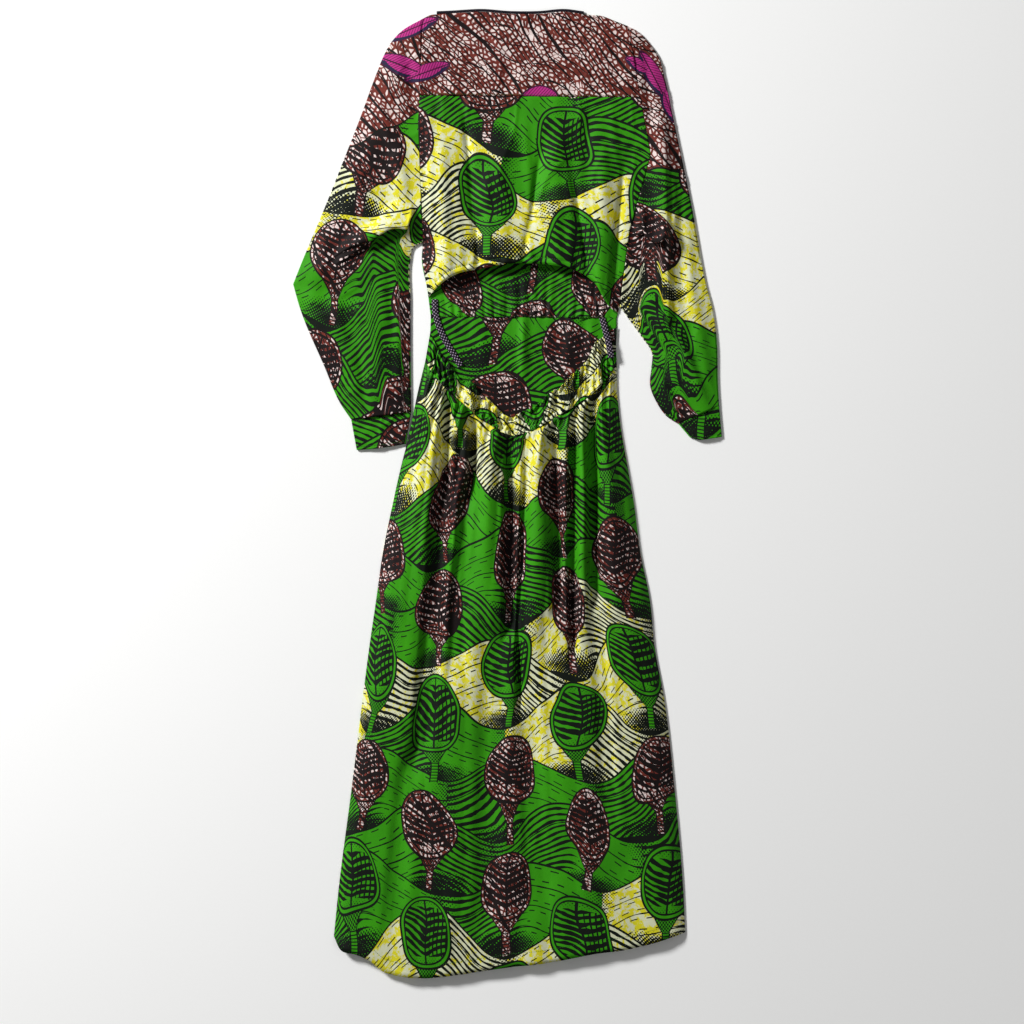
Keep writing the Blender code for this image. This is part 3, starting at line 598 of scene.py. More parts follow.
def creases(points, size, seed, stretch=1.0):
    """Narrow soft ridges where an uneven field crosses zero: (1 - |field| / 0.3)^2, at least 0."""
    return np.clip(1 - np.abs(wander(points, size, seed, stretch)) / 0.3, 0, 1) ** 2


def upper_height(points, soft):
    """Height of the under side of the back layer, from the neck to the arch and over both sleeves."""
    sideways = np.abs(points[..., 0] - MIDDLE)
    sleeve = smooth((sideways - 112) / 55)
    rise = read_table(TORSO_RISE, points[..., 1]) * (1 - sleeve) + SLEEVE_RISE * sleeve
    rise = np.maximum(rise + folds(points, UPPER_FOLDS) + folds(points, FINE_FOLDS), 0.6)
    return WALL + LAYER_GAP + soft * rise


def bunches(u, count, seed):
    """Uneven gathers across, from 0 to 1: `count` round ridges with narrow dips, of varying pace and size.

    Each is ((1 + sin(phase)) / 2)^0.6.
    """
    draw = np.random.default_rng(seed)
    start = draw.uniform(0, TAU, 4)
    phase = TAU * (count * u + 0.45 * np.sin(7.3 * u + start[0]) + 0.25 * np.sin(19 * u + start[1]))
    size = 0.7 + 0.2 * np.sin(13 * u + start[2]) + 0.1 * np.sin(41 * u + start[3])
    return size * ((1 + np.sin(phase)) / 2) ** 0.6


def gather(u, fade):
    """The main gathers across the waist, uneven in height and spacing."""
    phase = TAU * (GATHERS * u + 0.35 * np.sin(9.1 * u + 0.6) + 0.2 * np.sin(23 * u))
    size = 0.72 + 0.28 * np.sin(31 * u + 1.1)
    return GATHER_HEIGHT * fade * size * (1 + np.sin(phase)) / 2


def casing_height(u, v, soft):
    """Height of the under side of the elastic casing, lying low at its free edge."""
    ends = between(u, 0.1)
    rise = CASING_RISE[0] + (CASING_RISE[1] - CASING_RISE[0]) * v * v
    rise = rise + 1.2 * gather(u, 0.6 + 0.4 * v) * ends
    return WALL + LAYER_GAP + soft * rise


def skirt_fullness(points, seam_distance):
    """How full the back skirt stands, as a share of its rise: 1 at the seam, near 0 in its troughs."""
    full = np.maximum(1 + 1.25 * folds(points, SKIRT_FOLDS, 3.6), 0.06)
    return 1 + smooth(seam_distance / 13) * (full - 1)


def skirt_height(points, u, seam_distance, soft):
    """Height of the under side of the back skirt."""
    ends = between(u, 0.1)
    fullness = skirt_fullness(points, seam_distance)
    rise = read_table(SKIRT_RISE, seam_distance) * fullness
    rise = rise + 1.2 * gather(u, np.exp(-seam_distance / GATHER_FADE)) * ends * np.minimum(fullness, 1)
    return WALL + LAYER_GAP + soft * rise


def page(points, height):
    """Page millimetres and height to metres in the frame."""
    across = points[..., 0]
    up = LENGTH / 2 - points[..., 1]
    return np.stack([across, up, height], -1) * MM


# Meshes.


def grid_quads(rows, columns):
    """Corner numbers of the faces of a grid, facing up for points that run right and then down the page."""
    index = np.arange(rows * columns).reshape(rows, columns)
    quads = [index[:-1, :-1], index[1:, :-1], index[1:, 1:], index[:-1, 1:]]
    return np.stack(quads, -1).reshape(-1, 4)


def new_mesh(name, vertices, quads, uvs=None):
    """A smooth mesh object from arrays: points, four-sided faces, and one cloth coordinate a corner."""
    mesh = bpy.data.meshes.new(name)
    mesh.vertices.add(len(vertices))
    mesh.vertices.foreach_set("co", np.asarray(vertices, np.float32).ravel())
    mesh.loops.add(quads.size)
    mesh.loops.foreach_set("vertex_index", quads.ravel().astype(np.int32))
    mesh.polygons.add(len(quads))
    mesh.polygons.foreach_set("loop_start", np.arange(0, quads.size, 4, dtype=np.int32))
    mesh.polygons.foreach_set("use_smooth", np.ones(len(quads), bool))
    if uvs is not None:
        layer = mesh.uv_layers.new(name=CLOTH_MAP)
        layer.uv.foreach_set("vector", np.asarray(uvs, np.float32).ravel())
    mesh.update(calc_edges=True)
    piece = bpy.data.objects.new(name, mesh)
    garment().objects.link(piece)
    return piece


def garment():
    """The collection that holds the dress."""
    found = bpy.data.collections.get(COLLECTION)
    if found is None:
        found = bpy.data.collections.new(COLLECTION)
        bpy.context.scene.collection.children.link(found)
    return found


def thicken(piece, wall):
    """Gives a cloth surface its thickness, below the side that shows."""
    shell = piece.modifiers.new("Cloth", "SOLIDIFY")
    shell.thickness = wall * MM
    shell.offset = -1
    shell.use_even_offset = False
    shell.use_rim = True


def cloth(name, surface, uvs, wall):
    """A panel: the surface that shows, as a grid in metres, with its cloth coordinates."""
    rows, columns = surface.shape[:2]
    quads = grid_quads(rows, columns)
    piece = new_mesh(name, surface.reshape(-1, 3), quads, uvs.reshape(-1, 2)[quads])
    thicken(piece, wall)
    return piece


def cloth_map(surface, points, middle, shift, flat_width=None):
    """Flat-cloth coordinates in metres: the distance travelled across each row from the line `middle`
    across the page, stretched to the flat width, and the height on the page. Gathers and folds so press
    the print together.
    """
    step = np.linalg.norm(np.diff(surface, axis=1), axis=2)
    run = np.concatenate([np.zeros((len(step), 1)), np.cumsum(step, axis=1)], 1)
    if flat_width is not None:
        run = run * (flat_width / run[:, -1:])
    nearest = np.abs(points[..., 0] - middle).argmin(1)
    run = run - np.take_along_axis(run, nearest[:, None], 1)
    run = run + middle * MM
    # The start of each row is evened out, so that the rows don't step against each other.
    start = run[:, 0]
    window = np.ones(2 * EVEN_REACH + 1) / (2 * EVEN_REACH + 1)
    even = np.convolve(np.pad(start, EVEN_REACH, mode="edge"), window, mode="valid")
    run = run + (even - start)[:, None]
    return np.stack([run + shift[0] * MM, -points[..., 1] * MM + shift[1] * MM], -1)


# The panels. Each gives (points on the page, the surface that shows in metres, cloth coordinates).


def yoke_edges():
    """The yoke's four edges, from the neck and shoulders to the seam across the back."""
    half = SEAM / 2
    seam = ARMHOLE_SEAM / 2
    top = chain(
        dense(LEFT_SHOULDER + (BACK_NECK[0],)),
        dense(BACK_NECK),
        dense((BACK_NECK[-1],) + RIGHT_SHOULDER),
    )
    return trimmed(
        top,
        moved((LEFT_YOKE_END, RIGHT_YOKE_END), -half),
        moved((LEFT_ARMHOLE_TOP, LEFT_YOKE_END), -seam),
        moved((RIGHT_ARMHOLE_TOP, RIGHT_YOKE_END), seam),
    )


def settle(height, distance):
    """Lowers the last 7 mm to the outer edge, so that the back lies on the front along its side seams."""
    return height - 0.9 * (1 - smooth(distance / SETTLE_WIDTH))


def upper_surface(points, seed):
    """The side of the back layer that shows, with small creases between its main folds, and its softness.
    """
    distance = edge_distance(points)
    soft = edge_share(distance)
    top = upper_height(points, soft) + WALL
    small = 0.6 * wander(points, 46, seed, 1.6) + 1.2 * creases(points, 120, seed + 1, 2.0)
    return settle(top + soft * (small - 0.2), distance), soft


def seam_free(u, v):
    """1 inside a panel, 0 along its sewn edges, so that what moves the cloth leaves the seams in place."""
    return between(u, 0.06) * between(v, 0.08)


def yoke_surface():
    """The yoke: the back layer's surface between the neck and the yoke seam, lowest at the seam line."""
    u, v = shares(YOKE_GRID)
    points = patch(yoke_edges(), u, v)
    top, _ = upper_surface(points, 11)
    from_seam = (1 - v) * YOKE_DEPTH
    top = top - 0.7 * bell(from_seam, 1.6) + 0.25 * bell(from_seam - 5, 3)
    surface = page(points, top)
    return points, surface, cloth_map(surface, points, MIDDLE, (0, 0))


def bodice_surface():
    """The back bodice, from the yoke seam to its free arched hem, which rolls under along its last 4 mm."""
    half = SEAM / 2
    seam = ARMHOLE_SEAM / 2
    left = (LEFT_YOKE_END, LEFT_ARMHOLE_TURN, LEFT_UNDERARM, LEFT_WAIST[1], ARCH_HEM[0])
    right = (RIGHT_YOKE_END, RIGHT_ARMHOLE_TURN, RIGHT_FLAP_END, RIGHT_UNDERARM, ARCH_HEM[-1])
    edges = trimmed(
        moved((LEFT_YOKE_END, RIGHT_YOKE_END), half),
        dense(ARCH_HEM),
        moved(left, -seam),
        moved(right, seam),
    )
    u, v = shares(BODICE_GRID)
    v = 1 - (1 - v) ** 1.25
    points = patch(edges, u, v)
    top, soft = upper_surface(points, 21)
    from_yoke = from_row(points, 0)
    from_hem = from_row(points, -1)
    ends = between(u, 0.08)
    top = top - 0.7 * bell(from_yoke, 1.6)
    top = top + ends * 1.3 * (bunches(u, 17, 5) - 0.4) * np.exp(-from_hem / 42)
    top = top - ends * 0.8 * bell(from_hem - HEM_ROW, 1.8)
    top = top - ends * 2.4 * (1 - smooth(from_hem / 4)) ** 2
    surface = page(tucked(points, UPPER_FOLDS, 4.0, soft * seam_free(u, v)), top)
    return points, surface, cloth_map(surface, points, MIDDLE, BODICE_SHIFT)


def casing_surface():
    """The gathered elastic casing: a band in a shallow V whose bunches stand between two sewn rows."""
    u, v = shares(CASING_GRID)
    half = SEAM / 2
    edges = trimmed(
        dense(CASING_TOP),
        moved(dense(CASING_SEAM), -half),
        dense(LEFT_CASING_END),
        dense(RIGHT_CASING_END),
    )
    points = patch(edges, u, v)
    distance = edge_distance(points)
    soft = edge_share(distance)
    ends = between(u, 0.06)
    puffed = np.sin(np.pi * np.clip(v, 0, 1)) ** 0.6
    top = casing_height(u, v, soft) + WALL
    puffs = bunches(u, 7.5, 31)
    top = top + ends * 11.0 * (puffs - 0.4) * (0.35 + 0.65 * puffed)
    top = top + ends * 8.0 * (bunches(u + 0.014 * np.sin(6 * v), 23, 34) - 0.45) * (0.5 + 0.5 * puffed)
    top = top + ends * 2.2 * bunches(u + 0.006 * np.sin(9 * v), 58, 32)
    for row in CASING_ROWS:
        top = top - ends * 2.0 * bell(v - row, 0.06)
    ruffle = ends * (1 - smooth(v / 0.6)) * (8.0 * (puffs - 0.5) + 2.2 * (bunches(u, 38, 33) - 0.4))
    points = points - np.stack([np.zeros_like(ruffle), ruffle], -1)
    top = np.maximum(top, WALL + LAYER_GAP + 0.8)
    surface = page(points, top)
    return points, surface, cloth_map(surface, points, CASING_MIDDLE, CASING_SHIFT, CASING_PRINT_WIDTH)


def skirt_surface():
    """The back skirt: deep uneven folds from the casing, fine gathers that fade out, and a turned-up hem.
    """
    u, v = shares(SKIRT_GRID)
    v = v**1.3
    half = SEAM / 2
    edges = trimmed(
        moved(dense(CASING_SEAM), half), dense(HEM), dense(LEFT_SKIRT_SIDE), dense(RIGHT_SKIRT_SIDE)
    )
    points = patch(edges, u, v)
    distance = edge_distance(points)
    soft = edge_share(distance)
    down = from_row(points, 0)
    from_hem = from_row(points, -1)
    ends = between(u, 0.07)
    top = skirt_height(points, u, down, soft) + WALL
    ends = ends * np.minimum(skirt_fullness(points, down), 1)
    drift = u + 0.004 * np.sin(down / 37) + 0.006 * np.sin(down / 90 + 9 * u)
    top = top + ends * 3.4 * bunches(drift, 45, 41) * np.exp(-down / 40) * smooth((down + 6) / 14)
    top = top + ends * 8.5 * (bunches(drift, 20, 42) - 0.5) * np.exp(-down / 120) * smooth((down + 2) / 14)
    top = top + soft * 1.8 * (bunches(drift, 12, 43) - 0.5) * smooth(down / 120)
    top = top + soft * 0.6 * wander(points, 60, 44, 2.4) * smooth(down / 90)
    top = top + soft * 0.8 * creases(points, 170, 45, 2.2) * smooth(down / 120)
    top = top - 1.6 * bell(down, 2.2) * ends
    top = top - soft * 0.5 * bell(from_hem - SKIRT_HEM_ROW, 2.2)
    top = settle(np.maximum(top, 2 * WALL + LAYER_GAP), distance)
    surface = page(tucked(points, SKIRT_FOLDS, 0.6, soft), top)
    flat = 0.545 + 0.03 * v[:, :1]
    return points, surface, cloth_map(surface, points, SKIRT_MIDDLE, SKIRT_SHIFT, flat)


def front_bodice_surface():
    """The front of the bodice, flat on the surface, gathered where it shows above the waist seam."""
    half = SEAM / 2
    seam = ARMHOLE_SEAM / 2
    left = chain(
        np.array((LEFT_ARMHOLE_TOP, LEFT_ARMHOLE_TURN, LEFT_UNDERARM), float), dense(LEFT_WAIST)
    )
    right = chain(
        np.array((RIGHT_ARMHOLE_TOP, RIGHT_ARMHOLE_TURN, RIGHT_FLAP_END, RIGHT_UNDERARM), float),
        dense(RIGHT_WAIST),
    )
    top = chain(
        dense(LEFT_SHOULDER + (BACK_NECK[0],)),
        dense(FRONT_NECK),
        dense((BACK_NECK[-1],) + RIGHT_SHOULDER),
    )
    edges = trimmed(
        top,
        moved((LEFT_WAIST[-1], RIGHT_WAIST[-1]), -half),
        moved(left, -seam),
        moved(right, seam),
    )
    u, v = shares(FRONT_BODICE_GRID)
    v = 1 - (1 - v) ** 1.5
    points = patch(edges, u, v)
    from_seam = from_row(points, -1)
    ends = smooth((u - 0.03) / 0.1) * smooth((0.97 - u) / 0.1)
    shown = smooth((95 - from_seam) / 40)
    rise = 5.2 * bunches(u, 21, 51) * np.exp(-from_seam / 36) * smooth((from_seam + 4) / 9)
    rise = rise + 2.0 * bunches(u, 44, 52) * np.exp(-from_seam / 18)
    rise = rise + 1.3 * np.clip(wander(points, 70, 53, 1.3), 0, 1)
    top = FRONT_WALL + ends * shown * rise
    surface = page(points, top)
    return points, surface, cloth_map(surface, points, MIDDLE, FRONT_BODICE_SHIFT, FRONT_PRINT_WIDTH)


def front_skirt_surface():
    """The front of the skirt, flat on the surface, with soft vertical creases where the opening shows it.
    """
    half = SEAM / 2
    left = join((LEFT_WAIST[-1],), LEFT_CASING_END, LEFT_SKIRT_SIDE)
    right = join((RIGHT_WAIST[-1],), RIGHT_CASING_END, RIGHT_SKIRT_SIDE)
    hem = dense(HEM) - np.array([0, FRONT_HEM_SHORTER])
    edges = trimmed(
        moved((LEFT_WAIST[-1], RIGHT_WAIST[-1]), half), hem, dense(left), dense(right)
    )
    u, v = shares(FRONT_SKIRT_GRID)
    v = v**1.9
    points = patch(edges, u, v)
    down = points[..., 1] - WAIST_LINE
    shown = smooth((105 - down) / 60) * smooth((u - 0.04) / 0.12) * smooth((0.96 - u) / 0.12)
    rise = folds(points, FRONT_CREASES) + 0.5 * np.clip(wander(points, 50, 61, 2), 0, 1)
    rise = rise + 1.2 * bunches(u, 19, 62) * np.exp(-down / 18) * smooth((down + 2) / 8)
    top = FRONT_WALL + shown * np.maximum(rise, 0)
    surface = page(points, top)
    return points, surface, cloth_map(surface, points, MIDDLE, FRONT_SKIRT_SHIFT)


# Sleeves and cuffs: rings of columns, over the arm, round its outer edge, under it and round its inner
# edge.


def sleeve_columns(cap, forearm, share_list):
    """Lines down the sleeve at these shares across it, with their distances from the flap line."""
    v = np.linspace(0, 1, COLUMN_STEPS)
    found = []
    for share in share_list:
        u = np.full(COLUMN_STEPS, share)
        above = patch(cap, u, v)
        below = patch(forearm, u, v)
        above_run = lengths(above)
        line = np.concatenate([above[:-1], below])
        found.append((line, np.concatenate([above_run[:-1] - above_run[-1], lengths(below)])))
    return found


def at_distance(line, travelled, distance):
    """The points of a line at these distances along it."""
    return np.stack([np.interp(distance, travelled, line[:, i]) for i in range(2)], -1)


def away_from(edge, neighbour):
    """Unit directions square to an edge line, on the side away from the line of points beside it."""
    across = square_to(edge)
    side = np.sign(((edge - neighbour) * across).sum(1, keepdims=True))
    return across * side


def rounded_edge(edge, outward, top, turn, angles):
    """Columns round the folded edge of a tube: half a circle from its top down to the page."""
    return [
        page(edge + turn * np.sin(angle) * outward, top * (1 + np.cos(angle)) / 2)[:, None]
        for angle in np.radians(angles)
    ]


def sleeve_ring(cap, forearm, flap_share, open_length, seed):
    """A sleeve laid flat: a tube that is open along the armhole, with the flap in its upper layer.

    Down each column the distance along the sleeve follows the flap's profile as far as the flap's share
    there, so the cloth runs forward over the flap, back under it and on. The shares across are read from
    a smooth curve. Gives the ring (rows, columns, 3) in metres and the first row where its inner edge is
    closed.
    """
    profile = along(dense(FLAP_PROFILE), np.linspace(0, 1, SLEEVE_FLAP_ROWS))
    plain = np.linspace(profile[0, 0], profile[-1, 0], SLEEVE_FLAP_ROWS)
    amounts = dense(flap_share)
    armhole = cap[3]
    past_turn = np.linalg.norm(armhole[-1] - armhole[1]) + plain[0]
    to_turn = np.linalg.norm(armhole[1] - armhole[0])
    turn_share = to_turn / (to_turn + past_turn)
    turn_rows = max(1, round(turn_share * SLEEVE_CAP_ROWS))
    first = np.linspace(0, turn_share, turn_rows, endpoint=False)
    second = np.linspace(turn_share, 1, SLEEVE_CAP_ROWS - turn_rows, endpoint=False)
    cap_share = np.concatenate([first, second])
    turn = TUBE_TURN

    def row_distances(travelled, flap):
        """The distances of a column's rows along the sleeve: over the cap, the flap and the forearm."""
        before = travelled[0] + cap_share * (plain[0] - travelled[0])
        after = np.linspace(plain[-1], travelled[-1], SLEEVE_FOREARM_ROWS + 1)[1:]
        return np.concatenate([before, flap, after])

    beyond_flap = (SLEEVE_CAP_ROWS, SLEEVE_FOREARM_ROWS)
    upper_shares = np.linspace(0, 1, SLEEVE_UPPER)
    points = []
    lifts = []
    flapped = []
    for share, (line, travelled) in zip(upper_shares, sleeve_columns(cap, forearm, upper_shares)):
        amount = np.clip(np.interp(share, amounts[:, 0], amounts[:, 1]), 0, 1)
        forward = 0.8 * smooth((amount - 0.4) / 0.6)
        lifted = smooth(amount / 0.6)
        distance = row_distances(travelled, plain + forward * (profile[:, 0] - plain))
        points.append(at_distance(line, travelled, distance))
        lifts.append(np.pad(lifted * profile[:, 1], beyond_flap))
        flapped.append(np.pad(np.full(len(plain), amount), beyond_flap))
    upper = np.stack(points, 1)
    lift = np.stack(lifts, 1)
    flapped = np.stack(flapped, 1)
    soft = edge_share(edge_distance(upper))
    top = np.maximum(upper_height(upper, soft), WALL + SLEEVE_GAP) + WALL
    small = 0.5 * wander(upper, 40, seed, 1.3) + 1.0 * creases(upper, 95, seed + 1, 1.3)
    upper_top = top + lift + soft * (1 - 0.7 * flapped) * (small - 0.2)
    upper_top = np.maximum(upper_top, 2 * WALL + SLEEVE_GAP)
    lower_shares = np.linspace(0, 1, SLEEVE_LOWER)
    lower = []
    for line, travelled in sleeve_columns(cap, forearm, lower_shares):
        distance = row_distances(travelled, plain)
        lower.append(at_distance(line, travelled, distance))
    lower = np.stack(lower, 1)
    closed_from = int(np.searchsorted(distance, open_length - 4))
    outward = away_from(upper[:, 0], upper[:, 1])
    inward = away_from(upper[:, -1], upper[:, -2])
    closed = np.zeros((len(upper), 1))
    closed[closed_from:] = 1
    upper[:, 0] -= turn * outward
    lower[:, 0] -= turn * outward
    upper[:, -1] -= turn * inward * closed
    lower[:, -1] -= turn * inward * closed
    upper_top[:, 0] = 2 * turn + 0 * upper_top[:, 0]
    parts = [page(upper[:, ::-1], upper_top[:, ::-1])]
    parts += rounded_edge(upper[:, 0], outward, upper_top[:, 0], turn, EDGE_TURN)
    parts += [page(lower, np.zeros(lower.shape[:2]))]
    parts += rounded_edge(upper[:, -1], inward, upper_top[:, -1], turn, EDGE_TURN[::-1])
    return np.concatenate(parts, 1), closed_from


def ring_map(ring, flap_rows, upper, axis, shift):
    """Flat-cloth coordinates of a tube laid flat, from places across and along the arm's axis.

    The lower layer is turned over at the outer edge, and past the flap the length that is folded away in
    it is added: the run down each column in the flap's rows, less what of it shows.
    """
    around = np.concatenate([ring, ring[:, :1]], 1)
    across = around[..., 0] * axis[1] + around[..., 1] * axis[0]
    down = around[..., 0] * axis[0] - around[..., 1] * axis[1]
    across[:, upper:] = 2 * across[:, upper - 1 : upper] - across[:, upper:]
    hidden = np.linalg.norm(np.diff(around, axis=0), axis=2) - np.diff(down, axis=0)
    first, last = flap_rows
    hidden[:first] = 0
    hidden[last:] = 0
    down[1:] += np.cumsum(hidden, axis=0)
    return np.stack([across + shift[0] * MM, shift[1] * MM - down], -1)


def ring_piece(name, ring, closed_from, uvs, upper, wall):
    """The mesh of a tube with this many upper columns, whose inner edge is left open above closed_from."""
    rows, columns = ring.shape[:2]
    index = np.arange(rows * columns).reshape(rows, columns)
    around = np.concatenate([index, index[:, :1]], 1)
    marks = np.arange(rows * (columns + 1)).reshape(rows, columns + 1)

    def corners(grid):
        return np.stack([grid[:-1, :-1], grid[:-1, 1:], grid[1:, 1:], grid[1:, :-1]], -1)

    kept = np.ones((rows - 1, columns), bool)
    if closed_from:
        kept[:closed_from, columns - len(EDGE_TURN) - 1 :] = False
    quads = corners(around)[kept]
    quad_marks = corners(marks)[kept]
    if ring[-1, 0, 0] < ring[-1, upper - 1, 0]:
        quads = quads[:, ::-1]
        quad_marks = quad_marks[:, ::-1]
    used = np.unique(quads)
    renumber = np.zeros(rows * columns, int)
    renumber[used] = np.arange(len(used))
    piece = new_mesh(name, ring.reshape(-1, 3)[used], renumber[quads], uvs.reshape(-1, 2)[quad_marks])
    thicken(piece, wall)
    return piece


def left_sleeve():
    """The left sleeve's ring and cloth coordinates."""
    seam = ARMHOLE_SEAM / 2
    flap = dense(LEFT_FLAP)
    cap = trimmed(
        moved((LEFT_ARMHOLE_TOP, LEFT_YOKE_END), seam),
        flap,
        dense(LEFT_SLEEVE_OUTER),
        moved((LEFT_YOKE_END, LEFT_ARMHOLE_TURN, LEFT_UNDERARM), seam),
    )
    forearm = trimmed(
        flap, moved(LEFT_CUFF_TOP, -SEAM / 2), dense(LEFT_FOREARM_OUTER), dense(LEFT_FOREARM_INNER)
    )
    ring, closed_from = sleeve_ring(cap, forearm, LEFT_FLAP_SHARE, 0, 71)
    uvs = ring_map(ring, FLAP_ROWS, SLEEVE_UPPER, LEFT_ARM_AXIS, LEFT_SLEEVE_SHIFT)
    return ring, closed_from, uvs


def right_sleeve():
    """The right sleeve's ring and cloth coordinates."""
    seam = ARMHOLE_SEAM / 2
    flap = dense(RIGHT_FLAP)
    cap = trimmed(
        moved((RIGHT_ARMHOLE_TOP, RIGHT_YOKE_END), -seam),
        flap,
        dense(RIGHT_SLEEVE_OUTER),
        moved((RIGHT_YOKE_END, RIGHT_ARMHOLE_TURN, RIGHT_FLAP_END), -seam),
    )
    underarm = moved((RIGHT_FLAP_END, RIGHT_UNDERARM), -seam)
    forearm = trimmed(
        flap,
        moved(RIGHT_CUFF_TOP, SEAM / 2),
        dense(RIGHT_FOREARM_OUTER),
        chain(underarm, dense(RIGHT_FOREARM_INNER)),
    )
    open_length = np.linalg.norm(underarm[1] - underarm[0])
    ring, closed_from = sleeve_ring(cap, forearm, RIGHT_FLAP_SHARE, open_length, 81)
    uvs = ring_map(ring, FLAP_ROWS, SLEEVE_UPPER, RIGHT_ARM_AXIS, RIGHT_SLEEVE_SHIFT)
    return ring, closed_from, uvs


def cuff_ring(top, end, rise, seed):
    """A flattened band from the end of the sleeve to its hem: a short tube whose upper layer is crowned
    by a half sine, with two sewn rows pressed into it. The edges run from outer to inner.
    """
    rows = np.linspace(0, 1, CUFF_ROWS)[:, None, None]
    turn = TUBE_TURN
    upper_share = np.linspace(0, 1, CUFF_UPPER)
    lower_share = np.linspace(0, 1, CUFF_LOWER)
    top_curve = dense(top)
    end_curve = dense(end)
    upper = (1 - rows) * along(top_curve, upper_share) + rows * along(end_curve, upper_share)
    lower = (1 - rows) * along(top_curve, lower_share) + rows * along(end_curve, lower_share)
    across = unit(upper[:, -1] - upper[:, 0])
    for layer, share in ((upper, upper_share), (lower, lower_share)):
        layer += turn * (1 - 2 * share)[None, :, None] * across[:, None]
    crown = np.sin(np.pi * upper_share)[None] * np.ones((CUFF_ROWS, 1))
    small = 0.5 * wander(upper, 26, seed) + 1.1 * creases(upper, 60, seed + 1)
    height = 2 * turn + crown * rise + crown**0.5 * np.maximum(small, -0.3)
    for row in CUFF_ROW_SHARES:
        height = height - 0.35 * crown**0.3 * bell(rows[..., 0] - row, 0.03)
    edge_top = np.full(len(upper), 2 * turn)
    parts = [page(upper[:, ::-1], height[:, ::-1])]
    parts += rounded_edge(upper[:, 0], -across, edge_top, turn, EDGE_TURN)
    parts += [page(lower, np.zeros(lower.shape[:2]))]
    parts += rounded_edge(upper[:, -1], across, edge_top, turn, EDGE_TURN[::-1])
    return np.concatenate(parts, 1), CUFF_UPPER


# Bindings.


def strip(path, width, crown, under, count):
    """A soft strip along a path: a profile carried along it, highest in the middle by a half sine."""
    centre = along(dense(path), np.linspace(0, 1, count))
    side = square_to(centre)
    places = np.linspace(-0.5, 0.5, BINDING_COLUMNS)
    points = centre[:, None] - side[:, None] * places[None, :, None] * width
    height = under(centre)[:, None] + WALL + crown * np.cos(places * np.pi)[None]
    height = height + 0.25 * wander(points, 14, 91)
    return points, page(points, height)


def height_over(points, under_points, under_height):
    """Height just over another piece: its highest top within reach of each point, or else the front's."""
    flat = points.reshape(-1, 1, 2)
    near = np.linalg.norm(flat - under_points.reshape(1, -1, 2), axis=-1) < BINDING_REACH
    top = np.where(near, under_height.reshape(1, -1), 0).max(1) + LAYER_GAP
    return np.maximum(top, WALL + LAYER_GAP).reshape(points.shape[:-1])


def neck_ring():
    """The binding round the neck: a flattened loop, over the yoke's edge behind and under it in front."""
    share = np.linspace(0, 1, NECK_STEPS)
    lift = np.array([0, NECK_BINDING_WIDTH / 2 + SEAM])
    back = along(dense(BACK_NECK), share) - lift
    front = along(dense(FRONT_NECK), share) - lift
    soft = edge_share(edge_distance(back))
    back_height = upper_height(back, soft) + WALL / 2
    low = NECK_HEIGHT
    back_height = low + (np.maximum(back_height, low) - low) * np.sin(np.pi * share) ** 0.5
    front_height = np.full(NECK_STEPS, WALL / 2)
    radius = (low - WALL / 2) / 2
    middle = (low + WALL / 2) / 2
    turn = np.radians([20, 45, 70, 90, 110, 135, 160])
    right_end = np.stack([back[-1, 0] + radius * np.sin(turn), np.full(len(turn), back[-1, 1])], -1)
    left_end = np.stack([back[0, 0] - radius * np.sin(turn), np.full(len(turn), back[0, 1])], -1)
    front[[0, -1]] = back[[0, -1]]
    centre = np.concatenate([back, right_end, front[::-1], left_end[::-1]])
    heights = [
        back_height,
        middle + radius * np.cos(turn),
        front_height,
        middle - radius * np.cos(turn),
    ]
    height = np.concatenate(heights)
    places = np.linspace(-0.5, 0.5, NECK_COLUMNS)
    half = places[None, :, None] * np.array([0, NECK_BINDING_WIDTH])
    points = centre[:, None] + half
    tops = height[:, None] + 0.45 * np.cos(places * np.pi)[None]
    return page(points, tops), centre


# Sewing.


def on_surface(surface, row, column):
    """Points of a grid between its points: blended from the four around each."""
    rows, columns = surface.shape[:2]
    row = np.clip(row, 0, rows - 1.001)
    column = np.clip(column, 0, columns - 1.001)
    low = np.floor(row).astype(int)
    left = np.floor(column).astype(int)
    down = (row - low)[:, None]
    across = (column - left)[:, None]
    upper = (1 - across) * surface[low, left] + across * surface[low, left + 1]
    lower = (1 - across) * surface[low + 1, left] + across * surface[low + 1, left + 1]
    return (1 - down) * upper + down * lower


def row_near(distance, wanted):
    """For each column, the place down the grid where this distance from an edge is met."""
    count = distance.shape[1]
    return np.array([np.interp(wanted, distance[:, i], np.arange(len(distance))) for i in range(count)])


def stitches(lines, pitch, width):
    """Sewn stitches along lines of points in metres: each a small bead with four sides, 70% of the pitch
    long, pressed 0.1 mm into the cloth. Gives one array of points and one of faces.
    """
    starts = []
    aims = []
    for line in lines:
        travelled = lengths(line)
        count = max(2, int(travelled[-1] / (pitch * MM)))
        place = (np.arange(count) + 0.15) / count
        starts.append(along(line, place))
        aims.append(along(line, place + 0.7 / count))
    start = np.concatenate(starts)
    end = np.concatenate(aims)
    run = end - start
    side = unit(np.cross(run, np.array([0.0, 0.0, 1.0])))
    up = unit(np.cross(side, run))
    half = width * MM / 2
    ring = [side * half, up * half, -side * half, -up * half]
    lifted = up * 0.12 * MM
    points = [start - up * 0.15 * MM]
    for share in (0.22, 0.78):
        for offset in ring:
            points.append(start + run * share + offset + lifted)
    points.append(end - up * 0.15 * MM)
    points = np.stack(points, 1)
    faces = []
    for i in range(4):
        after = (i + 1) % 4
        faces.append((0, 1 + after, 1 + i, 1 + i))
        faces.append((1 + i, 1 + after, 5 + after, 5 + i))
        faces.append((9, 5 + i, 5 + after, 5 + after))
    return points, faces


